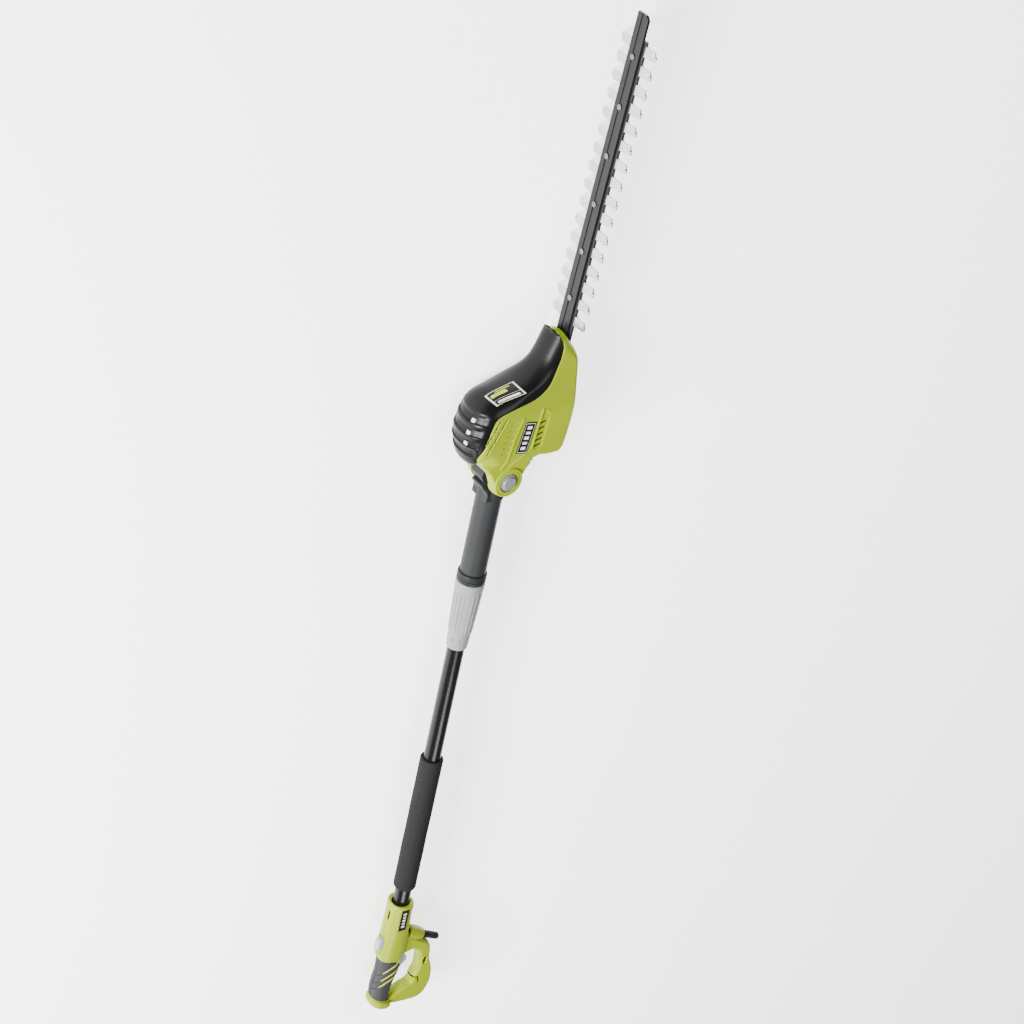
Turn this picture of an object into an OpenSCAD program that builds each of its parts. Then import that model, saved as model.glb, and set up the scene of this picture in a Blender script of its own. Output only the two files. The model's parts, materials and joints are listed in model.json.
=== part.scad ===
// Corded pole hedge trimmer with a telescopic pole, lying on its left side.
// +X runs along the pole towards the blade, +Y is the tool's top, +Z is its right side.
// The origin is on the head's tilt axis, at the surface the tool lies on.

/* [Pole] */
// Outer diameter of the outer tube
outer_tube_d = 28; // [27:0.5:29]
// Outer diameter of the sliding inner tube
inner_tube_d = 24.84; // [24.8:0.01:24.9]
// Outer diameter of the foam grip
foam_d = 38; // [34:1:42]
// Length of the foam grip
foam_len = 263; // [200:1:270]
// Outer diameter of the grey sleeve below the head
sleeve_d = 41; // [38:1:44]
// Length of the twist collar
collar_len = 124.5; // [110:0.5:130]

/* [Head] */
// Droop of the blade below the pole's line, in degrees
head_droop = 2.2; // [0:0.1:4]
// Half width of the motor housing, also the height of the pole's axis
head_half = 40; // [38:1:44]
// Half width of the neck that holds the blade
neck_half = 28; // [26:1:30]
// Wall thickness of the housings
wall = 2.8; // [2:0.2:3.4]
// Radius of the round ears at the tilt axis
ear_r = 27; // [25:1:28]

/* [Blade] */
// Distance between teeth
tooth_pitch = 28; // [24:1:30]
// Number of teeth on each edge
tooth_count = 16; // [10:1:16]
// Half width over the tooth tips
tooth_reach = 38; // [32:1:42]
// Half width of the blade bar between teeth
bar_half = 15; // [13:1:17]
// Thickness of each blade
blade_t = 2.4; // [2:0.1:2.6]
// Stroke of each blade to either side
stroke = 6; // [4:0.5:6]

/* [Handle] */
// Length of the rear handle
handle_len = 245; // [244:1:260]
// Half width of the handle's body
handle_half = 20; // [19:1:22]
// Half width of the closed hand guard
guard_half = 12; // [10:1:14]
// Outer diameter of the lead's bend protector at its tip
protector_d = 13.4; // [12:0.1:14]
// Diameter of the bore for the mains lead
lead_d = 7.2; // [6:0.1:7.4]

/* [Hidden] */
$fn = 48;
eps = 0.01;
fit = 0.05;          // radial clearance of a running fit
gap = 0.3;           // clearance between bodies that move past each other

// The tilt axis stands this far ahead of the datum that pole and head are measured from
tilt_x = 23;

// Pole, measured along X from the datum
sleeve_back = -159;
flange_back = -176;
collar_front = flange_back - 0.5;
collar_back = collar_front - collar_len;
tube_front = -215;
tube_back = -880;
inner_front = -20;
inner_back = -810;
foam_front = -524;
foam_back = foam_front - foam_len;
inner_r = inner_tube_d / 2;
outer_r = outer_tube_d / 2;
outer_bore_r = inner_r + 0.08;
inner_bore_r = inner_r - 1.2;
sleeve_r = sleeve_d / 2;
handle_front = -828;
handle_back = handle_front - handle_len;
button_x = -917;     // middle of the lock-off button
protector_x = -905;
protector_angle = -117.2;
protector_len = 82;
protector_r = 7.4;
boss_r = 13;
boss_len = 40;
eye_r = 3.6;
eye_x = -980;
eye_y = -71;
knuckle_r = 19.5;
knuckle_half = 22;
sector_r = 34;
sector_half = 14;
cup_r = 37;
pin_r = 6;

// Head, in its own frame with X along the blade and the datum behind the tilt axis
blade_top = -64.3;                   // upper face of the upper blade
bar_top = -60;
bar_bottom = -64;
upper_y = blade_top - blade_t;
lower_top = upper_y - gap;
lower_y = lower_top - blade_t;
neck_front = 255;
first_tooth = 277;
bar_tip = first_tooth + tooth_count * tooth_pitch + 20;
badge_t = 0.8;
vent_x = 82;
vent_y = -30;
vent_pitch = 9.8;
vent_turn = -71;
vent_len = 11.5;
vent_wide = 2.8;
slot_x = 135;
slot_y = 45.8;
slot_pitch = 21.8;
slot_turn = 159.5;
slot_len = 16.5;
slot_wide = 2;
label_x = 101;
label_y = -9.3;
label_turn = -6;
label_len = 53;
label_wide = 20;
shell_half = head_half - badge_t;
motor_x = 104;
motor_r = 27;
pinion_teeth = 12;
gear_teeth = 60;
module_mm = 1;
mesh_gap = 0.15;
gear_x = motor_x + module_mm * (pinion_teeth + gear_teeth) / 2 + mesh_gap;
gear_low = -50;
gear_thick = 8;
cam_r = 8;
shaft_r = 2.5;
spindle_r = 4;
screw_pitch = 75;
screw_x = [for (i = [0:5]) neck_front + 52 + i * screw_pitch];

// Outlines are lists of [x, y, corner radius], going round anticlockwise
head_outline = [
    [neck_front, -37, 3], [194, -19, 26], [159, 72, 22], [98, 88, 50], [53, 70, 18],
    [46, 44, 8], [46, -42, 8], [52, -60, 8], [56, -93, 16], [120, -97, 60],
    [218, -90, 14], [250, -58, 10], [neck_front, -46, 3]
];
ear_outline = [
    [tilt_x - ear_r, -ear_r, ear_r - 1], [36, -ear_r, 12], [62, -46, 4], [66, 56, 4],
    [58, 60, 5], [22, 29, 20], [tilt_x - ear_r, 24, ear_r - 3]
];
cover_zone = [
    [neck_front + 9, 20, 0.5], [200, 120, 0.5], [-20, 120, 0.5], [20, 16, 0.5],
    [66, 63, 6], [140, 52, 10], [180, -36, 8], [205, -47, 8], [neck_front + 9, -50, 0.5]
];
plan_outline = [
    [20, -shell_half + 4, 0.5], [70, -shell_half, 30], [140, -shell_half, 30],
    [192, -neck_half - 1, 40], [neck_front + 2, -neck_half + 2, 0.5],
    [neck_front + 2, neck_half - 2, 0.5], [192, neck_half + 1, 40],
    [140, shell_half, 30], [70, shell_half, 30], [20, shell_half - 4, 0.5]
];
body_outline = [
    [handle_front, 20.5, 3], [-895, 23, 60], [-934, 28, 12], [-946, 26.5, 5], [-953, 20.5, 5],
    [-985, 19.5, 30], [-1012, 23.5, 30], [-1051, 21.5, 1], [-1056, 25.5, 2],
    [handle_back, 24, 5], [handle_back, -19, 5], [-1056, -20, 3], [-1051, -9.5, 4],
    [-1024, -8.5, 16], [-998, -14, 16], [-981, -20.5, 10], [-960, -18.5, 10], [-945, -22, 8],
    [-925, -25, 14], [-890, -23, 30], [handle_front, -20.5, 3]
];
loop_outline = [
    [-890, -2, 1], [-1072, -2, 1], [-1072.5, -70, 14], [-1064, -85, 10], [-1043, -93, 12],
    [-1028, -95.5, 14], [-1002, -92, 14], [-978, -82, 10], [-957, -81, 8], [-942, -75, 8],
    [-931, -56, 10], [-912, -30, 12], [-895, -16, 8]
];
loop_gap = [
    [-941, -21, 6], [-1043, -9, 4], [-1040, -22, 8], [-1031, -38, 8], [-1028, -53, 7],
    [-1012, -54, 6], [-1002, -60, 6], [-985, -60, 8], [-962, -56, 8], [-953, -42, 10]
];
sector_outline = [
    [4, 2, 1], [16, 27.5, 3], [-9, 27.5, 1], [-11.5, 24.5, 0.8], [-12, 30, 0.6],
    [-15.5, 30, 1], [-26, 20.5, 4], [-44, 19, 1], [-44, 2, 1]
];
trigger_outline = [
    [-948, -17, 1], [-984, -17, 1], [-984, -22, 2], [-975, -27, 6], [-970, -34, 3],
    [-962, -34, 3], [-951, -25, 6]
];
grip_zone = [
    [-950, 40, 1], [-1050, 40, 1], [-1048, -5, 1], [-1050, -30, 1], [-966, -30, 1],
    [-958, -4, 1]
];

function unit(v) = v / norm(v);
function left_of(v) = [-v[1], v[0]];
function flat2(p) = [p[0], p[1]];
function turn(a, b) = a[0] * b[1] - a[1] * b[0];
function edge_in(p, i) = unit(flat2(p[i]) - flat2(p[(i + len(p) - 1) % len(p)]));
function edge_out(p, i) = unit(flat2(p[(i + 1) % len(p)]) - flat2(p[i]));

// Rounds each corner of an outline with n + 1 points
function rounded(p, n = 4) = [
    for (i = [0:len(p) - 1])
        let (a = edge_in(p, i), b = edge_out(p, i), s = turn(a, b) < 0 ? -1 : 1,
             bend = acos(min(1, max(-1, a * b))), r = p[i][2],
             start = flat2(p[i]) - a * r * tan(bend / 2),
             c = start + left_of(a) * s * r,
             from = atan2(start[1] - c[1], start[0] - c[0]))
        for (k = [0:n]) c + r * [cos(from + s * bend * k / n), sin(from + s * bend * k / n)]
];

// Moves an outline inwards by d
function inset(p, d) = [
    for (i = [0:len(p) - 1])
        let (a = edge_in(p, i), b = edge_out(p, i), na = left_of(a), nb = left_of(b),
             q = flat2(p[i]) + d * (na + nb) / (1 + na * nb),
             r = turn(a, b) < 0 ? p[i][2] + d : max(0.4, p[i][2] - d))
        [q[0], q[1], r]
];

// Points of an involute gear's outline; teeth are thinned by slack at the pitch circle
function involute(base, t) = base * [cos(t) + t * PI / 180 * sin(t), sin(t) - t * PI / 180 * cos(t)];
function spin2(v, a) = [v[0] * cos(a) - v[1] * sin(a), v[0] * sin(a) + v[1] * cos(a)];
function gear_outline(teeth, slack, pressure = 25, n = 3) =
    let (pitch = module_mm * teeth / 2, base = pitch * cos(pressure),
         root = pitch - 1.25 * module_mm, tip = pitch + 0.9 * module_mm,
         start = sqrt(max(0, pow(max(base, root) / base, 2) - 1)) * 180 / PI,
         end = sqrt(pow(tip / base, 2) - 1) * 180 / PI,
         half = 90 / teeth - slack / pitch * 90 / PI + (tan(pressure) * 180 / PI - pressure))
    [for (i = [0:teeth - 1]) let (a = i * 360 / teeth) each concat(
        root < base ? [spin2([root, 0], a - half)] : [],
        [for (k = [0:n]) spin2(involute(base, start + (end - start) * k / n), a - half)],
        [for (k = [n:-1:0]) let (v = involute(base, start + (end - start) * k / n))
            spin2([v[0], -v[1]], a + half)],
        root < base ? [spin2([root, 0], a + half)] : [])];

// A solid with the given outline between two heights, with both rims rounded
module pillow(outline, low, high, rim, steps = 3) {
    layers = concat(
        [for (k = [0:steps]) [low + rim * (1 - cos(90 * k / steps)), rim * (1 - sin(90 * k / steps))]],
        [for (k = [steps:-1:0]) [high - rim * (1 - cos(90 * k / steps)), rim * (1 - sin(90 * k / steps))]]);
    rings = [for (l = layers) [for (q = rounded(inset(outline, l[1]))) [q[0], q[1], l[0]]]];
    n = len(rings[0]);
    m = len(rings);
    polyhedron(
        points = [for (ring = rings) each ring],
        faces = concat(
            [[for (i = [0:n - 1]) i]],
            [[for (i = [n - 1:-1:0]) (m - 1) * n + i]],
            [for (j = [0:m - 2]) for (i = [0:n - 1]) [j * n + i, (j + 1) * n + i, (j + 1) * n + (i + 1) % n]],
            [for (j = [0:m - 2]) for (i = [0:n - 1]) [j * n + i, (j + 1) * n + (i + 1) % n, j * n + (i + 1) % n]]));
}
module slab(outline, low, high) {
    translate([0, 0, low]) linear_extrude(high - low) polygon(rounded(outline));
}
// Mirrors its children to the left side when side is negative
module on_side(side) { if (side > 0) children(); else mirror([0, 0, 1]) children(); }
module on_pole() { translate([-tilt_x, 0, head_half]) children(); }
module in_head() {
    translate([0, 0, head_half]) rotate([0, 0, -head_droop]) translate([-tilt_x, 0, 0]) children();
}
module at_tilt() { translate([tilt_x, 0, 0]) children(); }
// Rod or ring along X, between two stations
module rod_x(x0, x1, r, fn = 48) {
    translate([min(x0, x1), 0, 0]) rotate([0, 90, 0]) cylinder(h = abs(x1 - x0), r = r, $fn = fn);
}
module tube_x(x0, x1, r, bore) {
    difference() {
        rod_x(x0, x1, r);
        rod_x(min(x0, x1) - 1, max(x0, x1) + 1, bore);
    }
}
// Rod or ring along Y at a station of the head
module rod_y(x, y0, y1, r, z = 0, fn = 48) {
    translate([x, y1, z]) rotate([90, 0, 0]) cylinder(h = y1 - y0, r = r, $fn = fn);
}
module tube_y(x, y0, y1, r, bore, z = 0) {
    difference() {
        rod_y(x, y0, y1, r, z);
        rod_y(x, y0 - 1, y1 + 1, bore, z);
    }
}
module rod_z(x, y, z0, z1, r, fn = 48) {
    translate([x, y, z0]) cylinder(h = z1 - z0, r = r, $fn = fn);
}

// ---- Head housings ----
module head_block(d) {
    intersection() {
        pillow(inset(head_outline, d), -shell_half + d, shell_half - d, 13 - d);
        rotate([90, 0, 0]) slab(inset(plan_outline, d), -120, 120);
    }
}
module head_skin() {
    difference() {
        head_block(0);
        head_block(wall);
        // mouth of the neck, where the blade comes out
        translate([neck_front - 60, -75, -18]) cube([80, 24, 36]);
        // seats of the pivot ears and the space the sleeve's knuckle swings in
        ear_zone(0.1);
        at_tilt() rod_z(0, 0, -knuckle_half - gap, knuckle_half + gap, cup_r);
    }
}
module cover_cut(grow) { slab(inset(cover_zone, -grow), -head_half - 10, head_half + 10); }
// Air slots of the motor housing: five short ones low down, and two rows of three near the cover
module side_vents() {
    for (i = [0:4]) translate([vent_x + i * vent_pitch, vent_y, 0]) rotate([0, 0, vent_turn])
        translate([0, -vent_wide / 2, 0]) cube([vent_len, vent_wide, head_half + 10]);
}
module top_slots() {
    for (row = [0:1]) for (i = [0:2])
        translate([slot_x + 2 * row, slot_y - 11.6 * row, 0]) rotate([0, 0, slot_turn])
            translate([i * slot_pitch, -slot_wide / 2, 0]) cube([slot_len, slot_wide, head_half + 10]);
}
module head_shell(side) {
    color("yellowgreen") in_head() difference() {
        intersection() {
            head_skin();
            translate([-50, -200, side > 0 ? 0.02 : -60]) cube([400, 400, side > 0 ? 60 : 59.98]);
        }
        cover_cut(0.15);
        on_side(side) { side_vents(); top_slots(); }
        for (p = shell_bosses) rod_z(p[0], p[1], -60, 60, 1.6);
    }
}
shell_bosses = [[66, -82], [206, -80], [66, -54]];
module head_shell_right() { head_shell(1); }
module head_shell_left() { head_shell(-1); }
module head_cover() {
    color("#151515") in_head() difference() {
        intersection() { head_skin(); cover_cut(0); }
        // louvres across the back of the motor
        for (i = [0:3]) translate([58 + i * 22, 40 + i * 3, -24]) rotate([0, 0, 8])
            cube([9, 60, 48]);
    }
}
module head_badge() {
    color("#d8d860") in_head() translate([176.5, 26.5, 0]) rotate([0, 0, 21])
        translate([0.1, -18, -13]) cube([badge_t, 36, 26]);
}
module side_badges() {
    for (side = [-1, 1]) color("#202020") in_head() on_side(side)
        translate([label_x, label_y, shell_half + 0.02]) rotate([0, 0, label_turn])
            translate([-label_len / 2, -label_wide / 2, 0])
                cube([label_len, label_wide, badge_t - 0.02]);
}
module head_screws() {
    for (p = shell_bosses) color("#555555") in_head() {
        rod_z(p[0], p[1], -30, 14, 1.5, 24);
        rod_z(p[0], p[1], 14, 17, 3.2, 24);
    }
}

// ---- Tilt joint ----
module ear_zone(grow) {
    for (side = [-1, 1]) on_side(side)
        slab(inset(ear_outline, -grow), knuckle_half + gap - grow, head_half + 1);
}
module ear(side) {
    color("#c4d600") in_head() difference() {
        on_side(side) {
            slab(ear_outline, knuckle_half + gap, head_half - 4);
            at_tilt() rod_z(0, 0, head_half - 5, side > 0 ? head_half - 2 : head_half, side > 0 ? ear_r - 1 : 20);
        }
        at_tilt() rod_z(0, 0, -60, 60, pin_r + fit);
        if (side > 0) at_tilt() rod_z(0, 0, head_half - 10, head_half + 5, 14.5);
    }
}
// Curved wall inside the head that the knuckle swings past
module knuckle_cup() {
    color("yellowgreen") in_head() intersection() {
        difference() {
            at_tilt() rod_z(0, 0, -knuckle_half, knuckle_half, cup_r, 96);
            at_tilt() rod_z(0, 0, -30, 30, cup_r - 2.4, 96);
        }
        translate([43.5, -26, -30]) cube([30, 64, 60]);
    }
}
module ear_right() { ear(1); }
module ear_left() { ear(-1); }
module pivot_pin() {
    color("silver") in_head() at_tilt() rod_z(0, 0, -head_half + 3, head_half - 11, pin_r);
}
module pivot_button() {
    color("#9a9a9a") in_head() at_tilt() {
        rod_z(0, 0, head_half - 6, head_half - 1.5, 14.2);
        translate([0, 0, head_half - 1.5]) cylinder(h = 3, r1 = 11.5, r2 = 10);
    }
}
module button_spring() {
    color("#888888") in_head() at_tilt() difference() {
        rod_z(0, 0, head_half - 9.8, head_half - 8.2, 13);
        rod_z(0, 0, head_half - 11, head_half - 7, 11);
    }
}

// ---- Blade ----
module blade_bar() {
    color("#1a1a1a") in_head() difference() {
        union() {
            translate([150, bar_bottom, -12]) cube([bar_tip - 150 - 8, bar_top - bar_bottom, 24]);
            translate([bar_tip - 8, bar_bottom, 0]) rotate([-90, 0, 0])
                linear_extrude(bar_top - bar_bottom)
                    polygon([[-eps, -12], [3, -12], [8, -6], [8, 12], [-eps, 12]]);
        }
        translate([neck_front - 30, bar_top - 1, -2.6]) cube([bar_tip - neck_front + 60, 2, 5.2]);
        for (x = screw_x) {
            rod_y(x, bar_bottom - 1, bar_top + 1, 2.55);
            rod_y(x, bar_top - 1.05, bar_top + 1, 4.25);
        }
    }
}
module blade_screws() {
    for (x = screw_x) color("#3a3a3a") in_head() {
        rod_y(x, bar_top - 1, bar_top + 1.4, 4.2, 0, 24);
        rod_y(x, lower_y - 1, bar_top - 1, 2.5);
        rod_y(x, lower_y - 3.5, lower_y - 0.5, 6, 0, 24);
    }
}
// One tooth of a blade, from left to right; lean tips it along the blade
function tooth(x, side, lean) = [for (p = [
    [-9, bar_half], [-5 + lean, tooth_reach - 1.5], [-3.5 + lean, tooth_reach],
    [2.5 + lean, tooth_reach], [4 + lean, tooth_reach - 1.5], [7, bar_half]]) [x + p[0], side * p[1]]];
function backwards(p) = [for (i = [len(p) - 1:-1:0]) p[i]];
// Blade outline in the plane of the blade: a toothed bar, widened where the cam's window is
module blade_plan(lean) {
    near = [for (i = [0:tooth_count - 1]) each tooth(first_tooth + i * tooth_pitch, -1, lean)];
    far = [for (i = [0:tooth_count - 1]) each tooth(first_tooth + i * tooth_pitch, 1, lean)];
    end = first_tooth + (tooth_count - 1) * tooth_pitch + 12;
    difference() {
        polygon(concat(
            [[gear_x - 26, -19], [gear_x + 26, -19], [gear_x + 26, -bar_half]], near,
            [[end, -bar_half], [end, bar_half]], backwards(far),
            [[gear_x + 26, bar_half], [gear_x + 26, 19], [gear_x - 26, 19]]));
        translate([gear_x - 20.5, -14.5]) square([41, 29]);
        for (x = screw_x) translate([x, 0]) {
            translate([-stroke - 1, -3]) square([2 * stroke + 2, 6]);
            for (end = [-1, 1]) translate([end * (stroke + 1), 0]) circle(r = 3);
        }
    }
}
module blade_upper() {
    color("#c9ced3") in_head() translate([0, blade_top, 0]) rotate([90, 0, 0])
        linear_extrude(blade_t) blade_plan(3);
}
module blade_lower() {
    color("#b9bec3") in_head() translate([0, lower_top, 0]) rotate([90, 0, 0])
        linear_extrude(blade_t) blade_plan(-3);
}

// ---- Motor and gears ----
module gear_case() {
    color("#b0b4b8") in_head() difference() {
        translate([motor_x - 32, -38, -24]) cube([102, 5, 48]);
        rod_y(motor_x, -40, -30, 8 + fit);
        rod_y(gear_x, -40, -36, 11 + fit);
        rod_y(gear_x, -40, -30, spindle_r + gap);
    }
}
module gear_plate() {
    color("#a4a8ac") in_head() difference() {
        translate([gear_x - 34, lower_y - 8, -22]) cube([84, 4, 44]);
        rod_y(gear_x, lower_y - 9, lower_y, 8 + fit);
    }
}
module motor_can() {
    color("#8f9499") in_head() difference() {
        rod_y(motor_x, -10, 54, motor_r, 0, 64);
        rod_y(motor_x, -7, 52, motor_r - 2.5, 0, 64);
        rod_y(motor_x, -12, -6, 14);
        rod_y(motor_x, 50, 56, 18);
    }
}
module end_bell() {
    color("#2b2b2b") in_head() difference() {
        rod_y(motor_x, 54.1, 66, 20);
        rod_y(motor_x, 53, 62, 17);
        rod_y(motor_x, 53, 65, 6 + fit);
    }
}
module brush_holders() {
    for (side = [-1, 1]) color("#b08d57") in_head()
        translate([motor_x - 4, 44, side * 15 - 4]) cube([8, 6, 8]);
}
module motor_shaft() {
    color("silver") in_head() {
        rod_y(motor_x, -52, 65, shaft_r);
        translate([motor_x, gear_low, 0]) rotate([-90, 0, 0])
            linear_extrude(gear_thick + 1) polygon(gear_outline(pinion_teeth, 0.12));
    }
}
module armature() {
    color("#a5642d") in_head() {
        tube_y(motor_x, 2, 36, 21, shaft_r + 0.02);
        tube_y(motor_x, -4, 2, 17, shaft_r + 0.02);
        tube_y(motor_x, 36, 39, 17, shaft_r + 0.02);
    }
}
module commutator() {
    color("#b87333") in_head() tube_y(motor_x, 40, 51, 9.5, shaft_r + 0.02);
}
module cooling_fan() {
    color("#30363c") in_head() {
        tube_y(motor_x, -29, -13, 6, shaft_r + 0.02);
        tube_y(motor_x, -29, -27, 24, 5.9);
        for (i = [0:8]) translate([motor_x, -27.01, 0]) rotate([0, i * 40, 0])
            translate([5.8, 0, -0.8]) cube([18, 11, 1.6]);
    }
}
module motor_bearings() {
    color("#c8c8c8") in_head() {
        tube_y(motor_x, -38, -33, 8, shaft_r + 0.02);
        tube_y(motor_x, 58, 63, 6, shaft_r + 0.02);
    }
}
module drive_gear() {
    color("#6f757b") in_head() difference() {
        translate([gear_x, gear_low, 0]) rotate([-90, 180 + 180 / gear_teeth, 0])
            linear_extrude(gear_thick) polygon(gear_outline(gear_teeth, 0.12));
        rod_y(gear_x, gear_low - 1, gear_low + gear_thick + 1, spindle_r + 0.02);
        for (i = [0:5]) rotate_about_gear(i * 60) rod_y(gear_x + 18, gear_low - 1, gear_low + gear_thick + 1, 5);
    }
}
module rotate_about_gear(a) {
    translate([gear_x, 0, 0]) rotate([0, a, 0]) translate([-gear_x, 0, 0]) children();
}
module crank_shaft() {
    color("#9da3a9") in_head() {
        rod_y(gear_x, lower_y - 8, -34, spindle_r);
        rod_y(gear_x, gear_low - 9, gear_low - 0.2, 9);
        // twin cams, opposite each other, one for each blade
        rod_y(gear_x, upper_y, blade_top, cam_r, stroke);
        rod_y(gear_x, lower_y, lower_top, cam_r, -stroke);
    }
}
module crank_bearings() {
    color("#c8c8c8") in_head() {
        tube_y(gear_x, -38 + 0.02, -36.2, 11, spindle_r + 0.02);
        tube_y(gear_x, lower_y - 8, lower_y - 4, 8, spindle_r + 0.02);
    }
}

// ---- Pole ----
// Locking sector of the knuckle, with the notch that the tilt lock drops into
module sector() {
    intersection() {
        rod_z(0, 0, -sector_half, sector_half, sector_r);
        slab(sector_outline, -30, 30);
    }
}
module sleeve() {
    color("#4b4e50") on_pole() difference() {
        union() {
            rod_x(sleeve_back, tilt_x - 6, sleeve_r);
            at_tilt() rod_z(0, 0, -knuckle_half, knuckle_half, knuckle_r);
            translate([tilt_x - 30, -13, -knuckle_half]) cube([30, 26, 2 * knuckle_half]);
            at_tilt() sector();
        }
        rod_x(sleeve_back - 1, inner_front, inner_r + 0.05);
        rod_x(inner_front - 1, tilt_x - 14, 9);
        at_tilt() rod_z(0, 0, -knuckle_half - 1, knuckle_half + 1, pin_r + fit);
    }
}
module sleeve_flange() {
    color("#3f4244") on_pole() tube_x(flange_back, sleeve_back - 0.02, 23, inner_r + 0.05);
}
module inner_tube() { color("#c0c4c8") on_pole() tube_x(inner_back, inner_front - 0.1, inner_r, inner_bore_r); }
module guide_shoe() {
    color("#e8e8e8") on_pole() difference() {
        rod_x(inner_back - 14, inner_back - 0.05, inner_r + 0.03);
        rod_x(inner_back - 15, inner_back + 1, inner_bore_r - 1);
    }
}
module twist_collar() {
    color("#b4b6b8") on_pole() difference() {
        union() {
            rod_x(collar_front - 10, collar_front, 23);
            translate([collar_front - 96, 0, 0]) rotate([0, 90, 0]) cylinder(h = 86, r1 = 19.6, r2 = 23);
            translate([collar_back, 0, 0]) rotate([0, 90, 0])
                cylinder(h = collar_len - 96, r1 = 16.6, r2 = 17.8);
            // finger flutes stand proud in two groups of three
            for (group = [0:2]) for (i = [-1:1]) rotate([group * 120 + i * 18, 0, 0])
                translate([collar_front - 78, 21.2, 0]) rod_x(0, 60, 2, 16);
        }
        rod_x(collar_back - 1, collar_front + 1, outer_r + fit);
        rod_x(tube_front - 10, collar_front - 4, 18);
        // two small slots near the narrow end
        for (side = [-1, 1]) rotate([side * 25 + 45, 0, 0])
            translate([collar_back + 18, 15, -1.2]) cube([10, 6, 2.4]);
    }
}
module collet() {
    color("#dcdcdc") on_pole() difference() {
        tube_x(tube_front + 0.05, collar_front - 5, 17.6, outer_bore_r);
        translate([tube_front + 8, 0, -1]) cube([40, 30, 2]);
    }
}
module outer_tube() {
    color("#161616") on_pole() difference() {
        tube_x(tube_back, tube_front, outer_r, outer_bore_r);
        rod_z(tube_back + 14, 0, -20, 20, 2.55);
    }
}
module foam_grip() {
    color("#222222") on_pole() difference() {
        union() {
            rod_x(foam_back, foam_front - 2, foam_d / 2);
            translate([foam_front - 2, 0, 0]) rotate([0, 90, 0])
                cylinder(h = 2, r1 = foam_d / 2, r2 = foam_d / 2 - 2);
            translate([foam_back - 9, 0, 0]) rotate([0, 90, 0])
                cylinder(h = 9, r1 = foam_d / 2 - 3, r2 = foam_d / 2);
        }
        rod_x(foam_back - 20, foam_front + 10, outer_r + 0.02);
    }
}

// ---- Rear handle ----
module handle_block(d) {
    for (step = [[0, 8], [3, 3], [7, 0]])
        slab(inset(body_outline, d + step[0]), -handle_half + d + step[1], handle_half - d - step[1]);
}
module guard_block() {
    difference() {
        for (step = [[0, 3], [2.5, 0]])
            slab(inset(loop_outline, step[0]), -guard_half + step[1], guard_half - step[1]);
        slab(loop_gap, -30, 30);
        // eye and hook slot that hold an extension lead
        rod_z(eye_x, eye_y, -30, 30, eye_r);
        translate([-1026, -66, -30]) cube([12, 3.5, 60]);
        translate([-1018, -66, -30]) cube([4, 16, 60]);
    }
}
module handle_skin() {
    difference() {
        union() {
            handle_block(0);
            guard_block();
        }
        rod_x(tube_back, handle_front + 5, outer_r + 0.02);
        // room for the switch, the springs and the wiring
        translate([-985, -13, -11]) cube([103, 26, 22]);
        translate([-1048, -3, -11]) cube([64, 17, 22]);
        // way out for the trigger and for the lock button
        translate([-986, -40, -7]) cube([40, 30, 14]);
        translate([button_x - 13, 10, -7]) cube([26, 40, 14]);
        protector_seat() translate([0, 0, 6]) cylinder(h = boss_len - 5.8, r = boss_r + fit);
        // oblong hollow on the top
        translate([-863, 19, -2]) cube([19, 10, 6]);
    }
}
module protector_seat() {
    translate([protector_x, -22, 0]) rotate([0, 0, protector_angle]) rotate([0, 90, 0]) children();
}
module grip_layer(d) {
    intersection() {
        difference() { handle_block(0); handle_block(d); }
        slab(inset(grip_zone, d > 2 ? -0.1 : 0), -40, 40);
    }
}
module handle_shell(side) {
    color("yellowgreen") on_pole() difference() {
        intersection() {
            handle_skin();
            translate([-1200, -200, side > 0 ? 0.02 : -60]) cube([500, 400, side > 0 ? 60 : 59.98]);
        }
        grip_layer(2.1);
        for (p = handle_bosses) rod_z(p[0], p[1], -40, 40, 1.6);
        rod_z(tube_back + 14, 0, -40, 40, 2.55);
    }
}
handle_bosses = [[-842, -17.3], [-1064, 0], [-1054, -68], [-941, -52]];
module handle_shell_right() { handle_shell(1); }
module handle_shell_left() { handle_shell(-1); }
module grip(side) {
    color("#55585a") on_pole() difference() {
        intersection() {
            grip_layer(2);
            translate([-1200, -200, side > 0 ? 0.02 : -60]) cube([500, 400, side > 0 ? 60 : 59.98]);
        }
        grip_cuts(0.1);
        translate([-986.1, -40, -7.1]) cube([40.2, 30, 14.2]);
    }
}
module grip_cuts(grow) {
    for (i = [0:2]) translate([-973 - i * 15, 1 + i * 2, 0]) rotate([0, 0, -58])
        translate([-13 - grow, -2.5 - grow, -40]) cube([26 + 2 * grow, 5 + 2 * grow, 80]);
}
module grip_right() { grip(1); }
module grip_left() { grip(-1); }
module grip_stripes() {
    color("#b6d400") on_pole() intersection() {
        grip_layer(2);
        grip_cuts(0);
    }
}
module trigger() {
    color("#c4c6c8") on_pole() difference() {
        slab(trigger_outline, -6.5, 6.5);
        // rocker end that presses on the spring
        translate([-982, -17.5, -3]) cube([8, 1, 6]);
    }
}
module trigger_spring() {
    color("#999999") on_pole() translate([-966, -12.8, 0]) rotate([-90, 0, 0]) difference() {
        cylinder(h = 5.6, r = 3);
        translate([0, 0, -1]) cylinder(h = 6, r = 2);
    }
}
module lock_button() {
    color("#c4c6c8") on_pole() {
        translate([button_x - 12, 12, -6.5]) cube([24, 15, 13]);
        slab([for (p = [[12, 26], [10, 31], [-10, 31], [-12, 26]]) [button_x + p[0], p[1], 1]], -6, 6);
    }
}
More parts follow.
